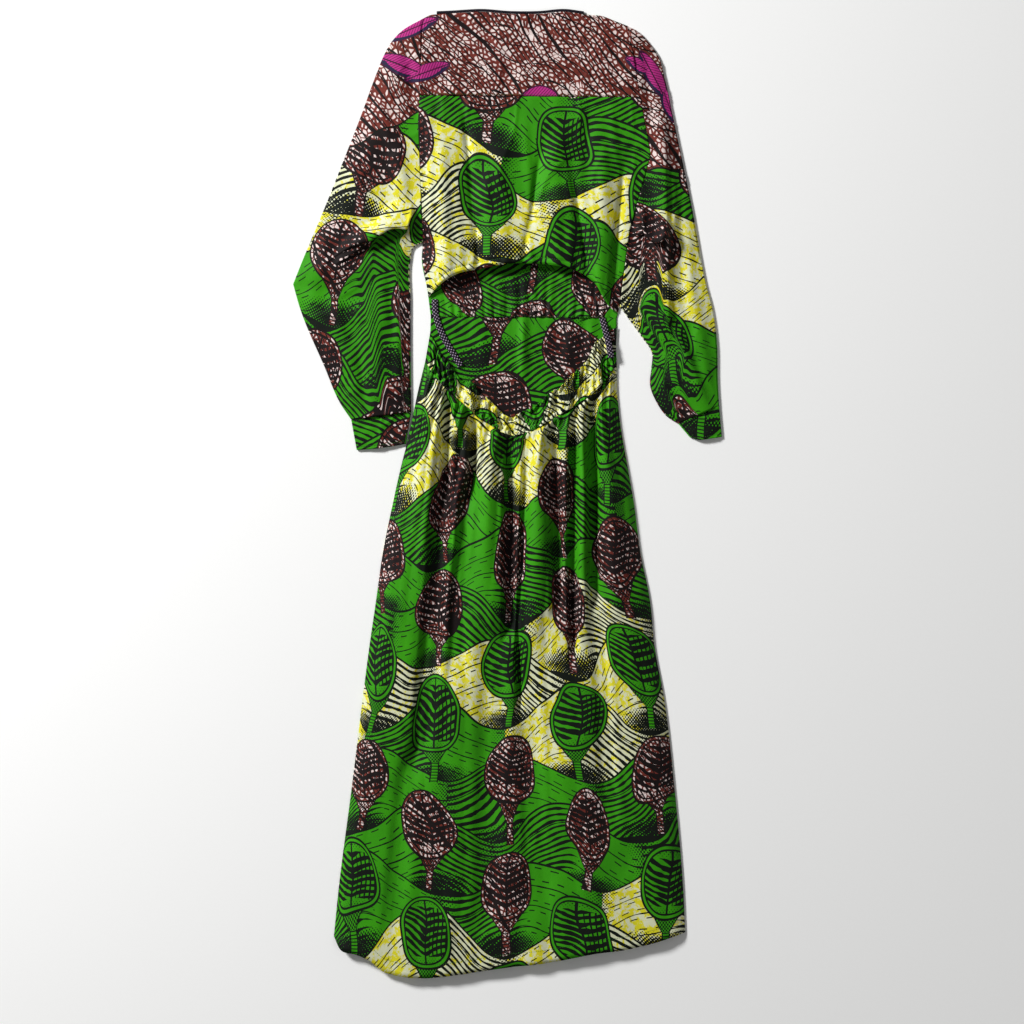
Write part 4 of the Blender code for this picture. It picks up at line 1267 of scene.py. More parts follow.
def stitch_piece(name, lines, pitch, width):
    """The stitches of one group of seams, as one mesh of separate closed beads."""
    points, pattern = stitches(lines, pitch, width)
    count = len(points)
    mesh = bpy.data.meshes.new(name)
    faces = []
    for corners in pattern:
        ends = list(dict.fromkeys(corners))
        faces.append((np.arange(count)[:, None] * 10 + np.array(ends)[None]).tolist())
    mesh.from_pydata(points.reshape(-1, 3).tolist(), [], [face for group in faces for face in group])
    mesh.update()
    mesh.shade_smooth()
    piece = bpy.data.objects.new(name, mesh)
    garment().objects.link(piece)
    return piece


# Materials. Patterns are worked out in millimetres of flat cloth, from the map that each piece carries.


# Places of the factor and the two colours among a Mix node's inputs.
MIX_SOCKETS = (0, 6, 7)


def linear(colour):
    """An sRGB hex colour as linear red, green and blue."""
    parts = [int(colour[i : i + 2], 16) / 255 for i in (1, 3, 5)]
    return tuple(c / 12.92 if c <= 0.04045 else ((c + 0.055) / 1.055) ** 2.4 for c in parts)


def add(tree, kind, inputs=(), output=0, **settings):
    """Adds a node with its settings. Each input is a socket or a value, given by place or by name."""
    node = tree.nodes.new(kind)
    for name, value in settings.items():
        setattr(node, name, value)
    pairs = inputs.items() if isinstance(inputs, dict) else enumerate(inputs)
    for place, value in pairs:
        if isinstance(value, bpy.types.NodeSocket):
            tree.links.new(value, node.inputs[place])
        else:
            node.inputs[place].default_value = value
    return node.outputs[output]


def colour_of(name):
    """A colour from the sidebar, with its alpha."""
    return (*getattr(bpy.context.scene.dress_colours, name), 1)


def reckon(tree, values, steps):
    """Works a table into nodes: the name of each result, its operation, and its inputs as numbers, as
    earlier results or as colours from the sidebar. MIX goes from the second input to the third by the
    share in the first.
    """
    for name, operation, *inputs in steps:
        given = []
        for item in inputs:
            if isinstance(item, str):
                item = values[item] if item in values else colour_of(item)
            given.append(item)
        if operation == "MIX":
            colours = dict(zip(MIX_SOCKETS, given))
            values[name] = add(tree, "ShaderNodeMix", colours, 2, data_type="RGBA")
        else:
            values[name] = add(tree, "ShaderNodeMath", given, operation=operation)


def add_noises(tree, values, table):
    """Adds flat noises from a table: the name of each, its place, scale, detail and roughness."""
    for name, place, scale, detail, roughness in table:
        inputs = {"Vector": place, "Scale": scale, "Detail": detail, "Roughness": roughness}
        values[name] = add(tree, "ShaderNodeTexNoise", inputs, noise_dimensions="2D")


# The ground of the print: overlapping rows of rolling hills, each lying over the one behind, cut by lines
# that run level with its crest. Hills are 250 mm wide in rows 80 mm apart, every other row half a hill
# along.
HILL_WIDTH = 250
HILL_PITCH = 80
HILL_HEIGHT = 50
HILL_SWING = 0.13
ROLL_LENGTH = 410
ROLL_HEIGHT = 9
LINE_PITCH = 8.8
LINE_WIDTH = 3.9
THIN_PITCH = 30
THIN_WIDTH = 1.7
OUTLINE_WIDTH = 3.0
DASH_PITCH = 23
DOT_PITCH = 5.2
COLOUR_ROWS = 5


def crest_steps(row, tag, unit_size):
    """The sums for the crest of a row of hills over the row's foot: a cosine with a slow sine over it, in
    units of this many millimetres.
    """
    half = HILL_HEIGHT / 2 / unit_size
    return (
        ("odd" + tag, "FLOORED_MODULO", row, 2),
        ("turn_even" + tag, "MULTIPLY_ADD", "odd" + tag, -0.5, "across"),
        ("swing_angle" + tag, "MULTIPLY", row, 2.4),
        ("swing" + tag, "SINE", "swing_angle" + tag),
        ("turn" + tag, "MULTIPLY_ADD", "swing" + tag, HILL_SWING, "turn_even" + tag),
        ("angle" + tag, "MULTIPLY", "turn" + tag, TAU),
        ("wave" + tag, "COSINE", "angle" + tag),
        ("crest_even" + tag, "MULTIPLY_ADD", "wave" + tag, half, half),
        ("roll_angle" + tag, "MULTIPLY_ADD", "x", TAU / ROLL_LENGTH, "swing_angle" + tag),
        ("roll" + tag, "SINE", "roll_angle" + tag),
        ("crest" + tag, "MULTIPLY_ADD", "roll" + tag, ROLL_HEIGHT / unit_size, "crest_even" + tag),
    )


HILLS = (
    ("row_place", "DIVIDE", "y", HILL_PITCH),
    ("row_under", "FLOOR", "row_place"),
    ("row_share", "FRACT", "row_place"),
    ("across", "DIVIDE", "x", HILL_WIDTH),
    *crest_steps("row_under", "_under", HILL_PITCH),
    ("in_under", "LESS_THAN", "row_share", "crest_under"),
    ("row_over", "ADD", "row_under", 1),
    ("row", "SUBTRACT", "row_over", "in_under"),
    *crest_steps("row", "", 1),
    ("hill", "ROUND", "turn"),
    ("top", "MULTIPLY_ADD", "row", HILL_PITCH, "crest"),
    ("depth", "SUBTRACT", "top", "y"),
    ("from_hill", "SUBTRACT", "turn", "hill"),
    ("side", "MULTIPLY", "from_hill", HILL_WIDTH),
)

# Close bold lines on one flank of a hill, thin lines and dashes on the other.
GROUND_LINES = (
    ("flip_step", "GREATER_THAN", "hill_b", 0.5),
    ("flip", "MULTIPLY_ADD", "flip_step", 2, -1),
    ("flank", "MULTIPLY", "side", "flip"),
    ("zone_gap", "SUBTRACT", 14, "flank"),
    ("zone_share", "DIVIDE", "zone_gap", 26),
    ("zone_low", "MAXIMUM", "zone_share", 0),
    ("zone", "MINIMUM", "zone_low", 1),
    ("cut", "MULTIPLY_ADD", "grain", 1.5, 0.25),
    ("line_half", "MULTIPLY", "zone", LINE_WIDTH / 2),
    ("line_cut", "MULTIPLY", "line_half", "cut"),
    ("line_place", "PINGPONG", "depth", LINE_PITCH / 2),
    ("line", "LESS_THAN", "line_place", "line_cut"),
    ("thin_place", "PINGPONG", "depth", THIN_PITCH / 2),
    ("thin_cut", "MULTIPLY", "cut", THIN_WIDTH / 2),
    ("thin", "LESS_THAN", "thin_place", "thin_cut"),
    ("edge", "LESS_THAN", "depth", OUTLINE_WIDTH),
    ("dash_depth", "ADD", "depth", THIN_PITCH / 4),
    ("dash_place", "PINGPONG", "dash_depth", THIN_PITCH / 4),
    ("dash_near", "LESS_THAN", "dash_place", 0.85),
    ("dash_rows", "DIVIDE", "depth", THIN_PITCH / 2),
    ("dash_row", "FLOOR", "dash_rows"),
    ("dash_along", "MULTIPLY_ADD", "dash_row", 8.3, "x"),
    ("dash_turns", "DIVIDE", "dash_along", DASH_PITCH),
    ("dash_turn", "FRACT", "dash_turns"),
    ("dash_on", "LESS_THAN", "dash_turn", 0.46),
    ("dash_flank", "GREATER_THAN", "flank", 12),
    ("dash_a", "MULTIPLY", "dash_near", "dash_on"),
    ("dash", "MULTIPLY", "dash_a", "dash_flank"),
    ("ground_a", "MAXIMUM", "line", "thin"),
    ("ground_b", "MAXIMUM", "edge", "dash"),
    ("ground_lines", "MAXIMUM", "ground_a", "ground_b"),
)

# The place of each seed pod: columns half a hill apart, its foot in the dip between the two hills in front.
POD_PLACES = (
    ("column_place", "DIVIDE", "x", HILL_WIDTH / 2),
    ("column", "ROUND", "column_place"),
    ("from_column", "SUBTRACT", "column_place", "column"),
    ("beside", "MULTIPLY", "from_column", HILL_WIDTH / 2),
    ("odd_column", "FLOORED_MODULO", "column", 2),
    ("raised", "MULTIPLY_ADD", "odd_column", HILL_PITCH, "y"),
    ("lowered", "SUBTRACT", "raised", HILL_PITCH),
    ("pod_place", "DIVIDE", "lowered", 2 * HILL_PITCH),
    ("pod", "FLOOR", "pod_place"),
    ("pod_share", "FRACT", "pod_place"),
    ("above", "MULTIPLY", "pod_share", 2 * HILL_PITCH),
    ("pod_rows", "MULTIPLY_ADD", "pod", 2, 2),
    ("pod_row", "SUBTRACT", "pod_rows", "odd_column"),
)

# Dotted shading that thickens to black in the dip round the foot of each pod.
POOLS = (
    ("dot_x", "MULTIPLY", "x", TAU / DOT_PITCH),
    ("dot_y", "MULTIPLY", "y", TAU / DOT_PITCH),
    ("dot_across", "COSINE", "dot_x"),
    ("dot_down", "COSINE", "dot_y"),
    ("dot_both", "MULTIPLY", "dot_across", "dot_down"),
    ("dots", "MULTIPLY_ADD", "dot_both", 0.5, 0.5),
    ("pool_x", "DIVIDE", "beside", 60),
    ("pool_xx", "MULTIPLY", "pool_x", "pool_x"),
    ("pool_y", "SUBTRACT", "above", 10),
    ("pool_ys", "DIVIDE", "pool_y", 24),
    ("pool_yy", "MULTIPLY", "pool_ys", "pool_ys"),
    ("pool_sum", "ADD", "pool_xx", "pool_yy"),
    ("pool_depth", "MULTIPLY_ADD", "pool_sum", -0.85, 1.02),
    ("row_gap", "SUBTRACT", "row", "pod_row"),
    ("row_miss", "ABSOLUTE", "row_gap"),
    ("same_row", "LESS_THAN", "row_miss", 0.5),
    ("pool_cut", "MULTIPLY", "pool_depth", "same_row"),
    ("pool", "LESS_THAN", "dots", "pool_cut"),
    ("brow_gap", "ABSOLUTE", "flank"),
    ("brow_far", "MULTIPLY_ADD", "brow_gap", 0.02, -1.9),
    ("brow_depth", "MULTIPLY_ADD", "depth", -0.004, "brow_far"),
    ("brow", "LESS_THAN", "dots", "brow_depth"),
    ("shading", "MAXIMUM", "pool", "brow"),
)

# A seed pod on a stalk: a rounded or pointed leaf shape with a rim, slanting ribs on its left half and a
# basket of ribs on its right, dotted tips, a checked cup and a hatched stalk.
POD_MIDDLE = 95
POD_HALF = 51
POD_WIDTH = 44

PODS = (
    ("lean", "MULTIPLY_ADD", "pod_a", 0.24, -0.12),
    ("over_foot", "SUBTRACT", "above", 22),
    ("leaning", "MULTIPLY", "lean", "over_foot"),
    ("a", "SUBTRACT", "beside", "leaning"),
    ("b", "SUBTRACT", "above", 5),
    ("b_middle", "SUBTRACT", "b", POD_MIDDLE),
    ("t", "DIVIDE", "b_middle", POD_HALF),
    ("width", "MULTIPLY_ADD", "t", -0.14 * POD_WIDTH, POD_WIDTH),
    ("a_size", "ABSOLUTE", "a"),
    ("a_share", "DIVIDE", "a_size", "width"),
    ("t_size", "ABSOLUTE", "t"),
    ("roundness", "MULTIPLY_ADD", "pod_b", 1.1, 1.75),
    ("a_power", "POWER", "a_share", "roundness"),
    ("t_power", "POWER", "t_size", "roundness"),
    ("powers", "ADD", "a_power", "t_power"),
    ("root", "DIVIDE", 1, "roundness"),
    ("reach", "POWER", "powers", "root"),
    ("in_pod", "LESS_THAN", "reach", 1),
    ("rim", "GREATER_THAN", "reach", 0.94),
    ("ring_gap", "SUBTRACT", "reach", 0.85),
    ("ring_miss", "ABSOLUTE", "ring_gap"),
    ("ring", "LESS_THAN", "ring_miss", 0.024),
    ("in_core", "LESS_THAN", "reach", 0.83),
    ("rib_slope", "MULTIPLY_ADD", "a", 0.0022, -0.42),
    ("rib_drop", "MULTIPLY", "a_size", "rib_slope"),
    ("rib_along", "ADD", "b", "rib_drop"),
    ("rib_place", "PINGPONG", "rib_along", 4.7),
    ("rib_half", "MULTIPLY_ADD", "reach", -1.4, 3.6),
    ("rib_cut", "MULTIPLY", "rib_half", "cut"),
    ("rib", "LESS_THAN", "rib_place", "rib_cut"),
    ("cross_place", "PINGPONG", "a", 3.6),
    ("cross_near", "LESS_THAN", "cross_place", 1.3),
    ("cross_side", "GREATER_THAN", "a", 7),
    ("cross", "MULTIPLY", "cross_near", "cross_side"),
    ("ribs", "MAXIMUM", "rib", "cross"),
    ("in_belly", "LESS_THAN", "t_size", 0.64),
    ("belly", "MULTIPLY", "ribs", "in_belly"),
    ("tip_depth", "MULTIPLY_ADD", "t_size", 1.5, -0.95),
    ("tip", "LESS_THAN", "dots", "tip_depth"),
    ("spine", "LESS_THAN", "a_size", 1.7),
    ("core_a", "MAXIMUM", "belly", "tip"),
    ("core_b", "MAXIMUM", "core_a", "spine"),
    ("core", "MULTIPLY", "core_b", "in_core"),
    ("border", "MAXIMUM", "rim", "ring"),
    ("pod_ink", "MAXIMUM", "border", "core"),
    ("stalk_low", "LESS_THAN", "b", 46),
    ("stalk_high", "GREATER_THAN", "b", -2),
    ("stalk_near", "LESS_THAN", "a_size", 7.2),
    ("stalk_a", "MULTIPLY", "stalk_low", "stalk_high"),
    ("in_stalk", "MULTIPLY", "stalk_a", "stalk_near"),
    ("stalk_edge", "GREATER_THAN", "a_size", 5),
    ("hatch_place", "PINGPONG", "b", 2.3),
    ("hatch", "LESS_THAN", "hatch_place", 0.8),
    ("stalk_ink", "MAXIMUM", "stalk_edge", "hatch"),
    ("cup_up", "SUBTRACT", "b", 29),
    ("cup_width", "MULTIPLY_ADD", "cup_up", 0.8, 7),
    ("cup_room", "SUBTRACT", "cup_width", "a_size"),
    ("cup_wide", "GREATER_THAN", "cup_room", 0),
    ("cup_high", "GREATER_THAN", "cup_up", 0),
    ("cup_low", "LESS_THAN", "cup_up", 26),
    ("cup_a", "MULTIPLY", "cup_wide", "cup_high"),
    ("in_cup", "MULTIPLY", "cup_a", "cup_low"),
    ("cup_edge", "LESS_THAN", "cup_room", 2),
    ("check", "GREATER_THAN", "dots", 0.5),
    ("cup_ink", "MAXIMUM", "cup_edge", "check"),
    ("foot_mask", "MAXIMUM", "in_stalk", "in_cup"),
    ("foot_cup", "MULTIPLY", "cup_ink", "in_cup"),
    ("not_cup", "SUBTRACT", 1, "in_cup"),
    ("foot_stalk", "MULTIPLY", "stalk_ink", "not_cup"),
    ("foot_ink", "ADD", "foot_cup", "foot_stalk"),
    ("motif", "MAXIMUM", "in_pod", "foot_mask"),
    ("pod_part", "MULTIPLY", "pod_ink", "in_pod"),
    ("not_pod", "SUBTRACT", 1, "in_pod"),
    ("foot_part", "MULTIPLY", "foot_ink", "not_pod"),
    ("motif_ink", "ADD", "pod_part", "foot_part"),
)

# Which hills are cream, which pods are brown: cream comes in every fifth row and about it, brown pods
# between.
COLOURING = (
    ("row_shift", "SUBTRACT", "row", 3),
    ("row_angle", "MULTIPLY", "row_shift", TAU / COLOUR_ROWS),
    ("row_wave", "COSINE", "row_angle"),
    ("cream_chance", "MULTIPLY_ADD", "row_wave", 0.55, 0.33),
    ("is_cream", "LESS_THAN", "hill_a", "cream_chance"),
    ("pod_shift", "SUBTRACT", "pod_row", 3),
    ("pod_angle", "MULTIPLY", "pod_shift", TAU / COLOUR_ROWS),
    ("pod_wave", "COSINE", "pod_angle"),
    ("brown_chance", "MULTIPLY_ADD", "pod_wave", -0.62, 0.5),
    ("is_brown", "LESS_THAN", "pod_c", "brown_chance"),
    ("soil", "MIX", "blot", "green", "deep_green"),
    ("dab_flank", "MULTIPLY_ADD", "zone", -0.09, "dab"),
    ("dab_over", "SUBTRACT", "dab_flank", 0.45),
    ("dab_share", "DIVIDE", "dab_over", 0.09),
    ("dab_low", "MAXIMUM", "dab_share", 0),
    ("dab_on", "MINIMUM", "dab_low", 1),
    ("dabbed", "MIX", "dab_on", "cream", "yellow"),
    ("field", "MIX", "is_cream", "soil", "dabbed"),
    ("ground_ink", "MAXIMUM", "ground_lines", "shading"),
    ("ground", "MIX", "ground_ink", "field", "ink"),
    ("body", "MIX", "is_brown", "soil", "crackle"),
    ("rib_ink", "MIX", "is_brown", "ink", "brown_ink"),
    ("inked", "MIX", "motif_ink", "body", "rib_ink"),
    ("colour", "MIX", "motif", "ground", "inked"),
)

# Crackle: pale round pebbles in a brown net, crossed by long dark strokes in two slants.
CRACKLE_SLANT = math.radians(-50)
SECOND_SLANT = math.radians(-30)
CRACKLE_PLACES = (
    ("along_x", "MULTIPLY", "x", math.cos(CRACKLE_SLANT)),
    ("along", "MULTIPLY_ADD", "y", math.sin(CRACKLE_SLANT), "along_x"),
    ("across_x", "MULTIPLY", "x", -math.sin(CRACKLE_SLANT)),
    ("across", "MULTIPLY_ADD", "y", math.cos(CRACKLE_SLANT), "across_x"),
    ("second_x", "MULTIPLY", "x", -math.sin(SECOND_SLANT)),
    ("second", "MULTIPLY_ADD", "y", math.cos(SECOND_SLANT), "second_x"),
    ("pebble_x", "DIVIDE", "across", 6.0),
    ("pebble_y", "DIVIDE", "along", 8.0),
    ("stroke_x", "DIVIDE", "across", 34),
    ("stroke_y", "DIVIDE", "along", 150),
)
CRACKLE_LINES = (
    ("net_width", "MULTIPLY_ADD", "patches", 0.62, -0.03),
    ("net_over", "SUBTRACT", "net_width", "pebble_edge"),
    ("net_share", "DIVIDE", "net_over", 0.09),
    ("net_low", "MAXIMUM", "net_share", 0),
    ("brown", "MINIMUM", "net_low", 1),
    ("stroke_bend", "MULTIPLY_ADD", "strokes", 46, "across"),
    ("stroke_place", "PINGPONG", "stroke_bend", 4.4),
    ("stroke_width", "MULTIPLY_ADD", "dark_patches", 4.6, -1.1),
    ("stroke_cut", "MINIMUM", "stroke_width", 1.25),
    ("first_stroke", "LESS_THAN", "stroke_place", "stroke_cut"),
    ("second_bend", "MULTIPLY_ADD", "strokes", -38, "second"),
    ("second_place", "PINGPONG", "second_bend", 7.5),
    ("second_width", "MULTIPLY_ADD", "dark_patches", -4.4, 2.9),
    ("second_cut", "MINIMUM", "second_width", 1.0),
    ("second_stroke", "LESS_THAN", "second_place", "second_cut"),
    ("stroke", "MAXIMUM", "first_stroke", "second_stroke"),
    ("pale", "MIX", "blot", "chalk", "blush"),
    ("dark", "MIX", "blot", "umber", "russet"),
    ("stained", "MIX", "brown", "pale", "dark"),
    ("colour", "MIX", "stroke", "stained", "brown_ink"),
)


def new_group(name):
    """An empty node group that gives a colour."""
    found = bpy.data.node_groups.get(name)
    if found is not None:
        bpy.data.node_groups.remove(found)
    tree = bpy.data.node_groups.new(name, "ShaderNodeTree")
    tree.interface.new_socket(name="Colour", in_out="OUTPUT", socket_type="NodeSocketColor")
    return tree


def flat_cloth(tree):
    """The flat-cloth map in millimetres."""
    uv = add(tree, "ShaderNodeUVMap", uv_map=CLOTH_MAP)
    return add(tree, "ShaderNodeVectorMath", {0: uv, 3: 1 / MM}, operation="SCALE")


def flat_parts(tree, vector, *names):
    """The parts of a vector, by name."""
    return dict(zip(names, add(tree, "ShaderNodeSeparateXYZ", [vector]).node.outputs))


def cloth_places(tree, bend, bend_size):
    """The flat-cloth map, bent by a slow noise as a hand-cut printing block is, and its x and y."""
    flat = flat_cloth(tree)
    drift = add(
        tree,
        "ShaderNodeTexNoise",
        {"Vector": flat, "Scale": 1 / bend_size, "Detail": 1.0},
        1,
        noise_dimensions="2D",
    )
    centred = add(tree, "ShaderNodeVectorMath", [drift, (0.5, 0.5, 0.5)], operation="SUBTRACT")
    scaled = add(tree, "ShaderNodeVectorMath", {0: centred, 3: 2.0 * bend}, operation="SCALE")
    bent = add(tree, "ShaderNodeVectorMath", [flat, scaled], operation="ADD")
    return bent, flat_parts(tree, bent, "x", "y")


def drawn(tree, place, *names):
    """Random numbers from 0 to 1 for each whole place, by name."""
    draw = add(tree, "ShaderNodeTexWhiteNoise", {"Vector": place}, 1, noise_dimensions="2D")
    return dict(zip(names, add(tree, "ShaderNodeSeparateColor", [draw]).node.outputs))


def crackle_group():
    """The crackle of a wax-resist cloth, as a node group."""
    tree = new_group("Wax crackle")
    bent, values = cloth_places(tree, 5, 70)
    reckon(tree, values, CRACKLE_PLACES)
    pebbles = add(tree, "ShaderNodeCombineXYZ", [values["pebble_x"], values["pebble_y"]])
    values["pebble_edge"] = add(
        tree,
        "ShaderNodeTexVoronoi",
        {"Vector": pebbles, "Scale": 1.0},
        voronoi_dimensions="2D",
        feature="DISTANCE_TO_EDGE",
    )
    stretched = add(tree, "ShaderNodeCombineXYZ", [values["stroke_x"], values["stroke_y"]])
    noises = (
        ("patches", bent, 1 / 26, 2.0, 0.5),
        ("strokes", stretched, 0.6, 0.0, 0.5),
        ("dark_patches", stretched, 1.6, 1.0, 0.5),
        ("blot", bent, 1 / 9, 2.0, 0.5),
    )
    add_noises(tree, values, noises)
    reckon(tree, values, CRACKLE_LINES)
    tree.links.new(values["colour"], tree.nodes.new("NodeGroupOutput").inputs[0])
    return tree


def print_group(crackle):
    """The green wax print, as a node group."""
    tree = new_group("Wax print")
    bent, values = cloth_places(tree, 22, 130)
    noises = (
        ("grain", bent, 1 / 14, 1.0, 0.5),
        ("blot", bent, 1 / 60, 2.0, 0.5),
        ("dab", bent, 1 / 12, 3.0, 0.75),
    )
    add_noises(tree, values, noises)
    reckon(tree, values, HILLS)
    hill_place = add(tree, "ShaderNodeCombineXYZ", [values["hill"], values["row"]])
    values.update(drawn(tree, hill_place, "hill_a", "hill_b"))
    reckon(tree, values, GROUND_LINES + POD_PLACES)
    pod_place = add(tree, "ShaderNodeCombineXYZ", [values["column"], values["pod"]])
    shifted = add(tree, "ShaderNodeVectorMath", [pod_place, (31.7, 12.3, 0)], operation="ADD")
    values.update(drawn(tree, shifted, "pod_a", "pod_b", "pod_c"))
    brown = tree.nodes.new("ShaderNodeGroup")
    brown.node_tree = crackle
    values["crackle"] = brown.outputs[0]
    reckon(tree, values, POOLS + PODS + COLOURING)
    tree.links.new(values["colour"], tree.nodes.new("NodeGroupOutput").inputs[0])
    return tree


# Magenta leaves on the crackle, edged in navy: across, down, turn in degrees, half length, half width.
LEAVES = {
    "left": ((-140, 30, -22, 44, 12), (-150, 84, 22, 42, 15), (-116, 92, -20, 36, 12)),
    "right": ((210, 96, 62, 40, 13), (192, 84, 30, 26, 10), (233, 140, 70, 28, 10)),
    "seam": ((47, 131, 0, 29, 20),),
}
LEAF_POWER = 1.7


def leaf_steps(number, across, down, turn, half_length, half_width):
    """The sums of one leaf on the page: reach is (|side|^p + |length|^p)^(1/p), 1 on its outline."""
    name = f"leaf{number}_"
    cosine = math.cos(math.radians(turn))
    sine = math.sin(math.radians(turn))
    return (
        (name + "x", "SUBTRACT", "page_x", across),
        (name + "y", "SUBTRACT", "page_y", down),
        (name + "cx", "MULTIPLY", name + "x", cosine),
        (name + "long", "MULTIPLY_ADD", name + "y", sine, name + "cx"),
        (name + "sx", "MULTIPLY", name + "x", -sine),
        (name + "wide", "MULTIPLY_ADD", name + "y", cosine, name + "sx"),
        (name + "u", "DIVIDE", name + "long", half_length),
        (name + "v", "DIVIDE", name + "wide", half_width),
        (name + "uu", "ABSOLUTE", name + "u"),
        (name + "vv", "ABSOLUTE", name + "v"),
        (name + "up", "POWER", name + "uu", LEAF_POWER),
        (name + "vp", "POWER", name + "vv", LEAF_POWER),
        (name + "sum", "ADD", name + "up", name + "vp"),
        (name + "reach", "POWER", name + "sum", 1 / LEAF_POWER),
        (name + "slant", "MULTIPLY_ADD", name + "wide", 0.9, name + "long"),
        ("leaf_nearer", "LESS_THAN", name + "reach", "leaf_reach"),
        ("leaf_reach_new", "MINIMUM", "leaf_reach", name + "reach"),
        ("leaf_slant_gap", "SUBTRACT", name + "slant", "leaf_slant"),
        ("leaf_slant_new", "MULTIPLY_ADD", "leaf_slant_gap", "leaf_nearer", "leaf_slant"),
        ("leaf_v_gap", "SUBTRACT", name + "v", "leaf_v"),
        ("leaf_v_new", "MULTIPLY_ADD", "leaf_v_gap", "leaf_nearer", "leaf_v"),
    )


LEAF_COLOURS = (
    ("in_leaf", "LESS_THAN", "leaf_reach", 1),
    ("leaf_rim", "GREATER_THAN", "leaf_reach", 0.9),
    ("vein_place", "PINGPONG", "leaf_slant", 2.3),
    ("vein", "LESS_THAN", "vein_place", 0.55),
    ("leaf_mid_gap", "ABSOLUTE", "leaf_v"),
    ("leaf_mid", "LESS_THAN", "leaf_mid_gap", 0.07),
    ("leaf_ink_a", "MAXIMUM", "leaf_rim", "vein"),
    ("leaf_ink", "MAXIMUM", "leaf_ink_a", "leaf_mid"),
    ("leaf_outer", "GREATER_THAN", "leaf_reach", 0.66),
    ("leaf_below", "GREATER_THAN", "leaf_v", 0.15),
    ("leaf_navy", "MULTIPLY", "leaf_outer", "leaf_below"),
    ("petal", "MIX", "leaf_navy", "magenta", "navy"),
    ("leaf", "MIX", "leaf_ink", "petal", "plum"),
    ("over", "MIX", "in_leaf", "under", "leaf"),
)


def leaves_over(tree, values, colour, names):
    """Lays the magenta leaves of these groups over a colour."""
    values.update(under=colour, leaf_reach=9.0, leaf_slant=0.0, leaf_v=0.0)
    table = [leaf for name in names for leaf in LEAVES[name]]
    for number, leaf in enumerate(table):
        reckon(tree, values, leaf_steps(number, *leaf))
        for name in ("leaf_reach", "leaf_slant", "leaf_v"):
            values[name] = values[name + "_new"]
    reckon(tree, values, LEAF_COLOURS)
    return values["over"]


def page_places(tree):
    """Object coordinates as page millimetres: across and down."""
    values = flat_parts(tree, add(tree, "ShaderNodeTexCoord", (), 3), "object_x", "object_y")
    steps = (
        ("page_x", "MULTIPLY", "object_x", 1000),
        ("page_y", "MULTIPLY_ADD", "object_y", -1000, LENGTH / 2),
    )
    reckon(tree, values, steps)
    return values


# The weave: threads 0.35 mm apart on the real cotton, drawn 1.1 mm apart so that it shows in a close view.
THREAD_PITCH = 1.1
WEAVE = (
    ("warp_turn", "MULTIPLY", "thread_x", TAU / THREAD_PITCH),
    ("weft_turn", "MULTIPLY", "thread_y", TAU / THREAD_PITCH),
    ("warp", "SINE", "warp_turn"),
    ("weft", "SINE", "weft_turn"),
    ("weave", "MULTIPLY", "warp", "weft"),
    ("cloth_height", "MULTIPLY_ADD", "slub", 1.6, "weave"),
)


def new_material(name, settings):
    """A material with these settings of its shader, and the shader's inputs."""
    material = bpy.data.materials.new(name)
    material.use_nodes = True
    inputs = material.node_tree.nodes["Principled BSDF"].inputs
    for setting, value in settings.items():
        inputs[setting].default_value = value
    return material, inputs


COTTON = {"Roughness": 0.68, "Specular IOR Level": 0.16, "Sheen Weight": 0.02, "Sheen Roughness": 0.5}


def cloth_material(name, colour_from):
    """Waxed cotton print: close plain weave, pressed smooth, with a low broad sheen and no hard
    highlight.
    """
    found = bpy.data.materials.get(name)
    if found is not None:
        return found
    material, inputs = new_material(name, COTTON)
    tree = material.node_tree
    colour = colour_from(tree)
    flat = flat_cloth(tree)
    values = flat_parts(tree, flat, "thread_x", "thread_y")
    add_noises(tree, values, (("slub", flat, 1 / 3.5, 2.0, 0.5),))
    reckon(tree, values, WEAVE)
    bump = {"Height": values["cloth_height"], "Strength": 0.16, "Distance": 0.0003}
    tree.links.new(add(tree, "ShaderNodeBump", bump), inputs["Normal"])
    reckon(tree, values, (("wear", "MIX", "slub", (0.93, 0.93, 0.93, 1), (1.07, 1.07, 1.07, 1)),))
    worn = dict(zip(MIX_SOCKETS, (1.0, colour, values["wear"])))
    toned = add(tree, "ShaderNodeMix", worn, 2, data_type="RGBA", blend_type="MULTIPLY")
    tree.links.new(toned, inputs["Base Color"])
    return material


def group_colour(tree, group_name):
    """The colour of one of the two print groups."""
    if bpy.data.node_groups.get("Wax print") is None:
        print_group(crackle_group())
    group = tree.nodes.new("ShaderNodeGroup")
    group.node_tree = bpy.data.node_groups[group_name]
    return group.outputs[0]


def green_print():
    """Green wax-print cotton."""
    return cloth_material("Wax-print cotton, green", lambda tree: group_colour(tree, "Wax print"))


def crackle_print():
    """Crackle wax-print cotton with magenta leaves at both shoulders."""

    def colour(tree):
        return leaves_over(tree, page_places(tree), group_colour(tree, "Wax crackle"), tuple(LEAVES))

    return cloth_material("Wax-print cotton, crackle", colour)


# Where the crackle on the top of each sleeve ends: line through two page points, across and down.
SLEEVE_BOUNDS = {"left": ((-220, 196), (-128, 152)), "right": ((219, 234), (255, 229))}


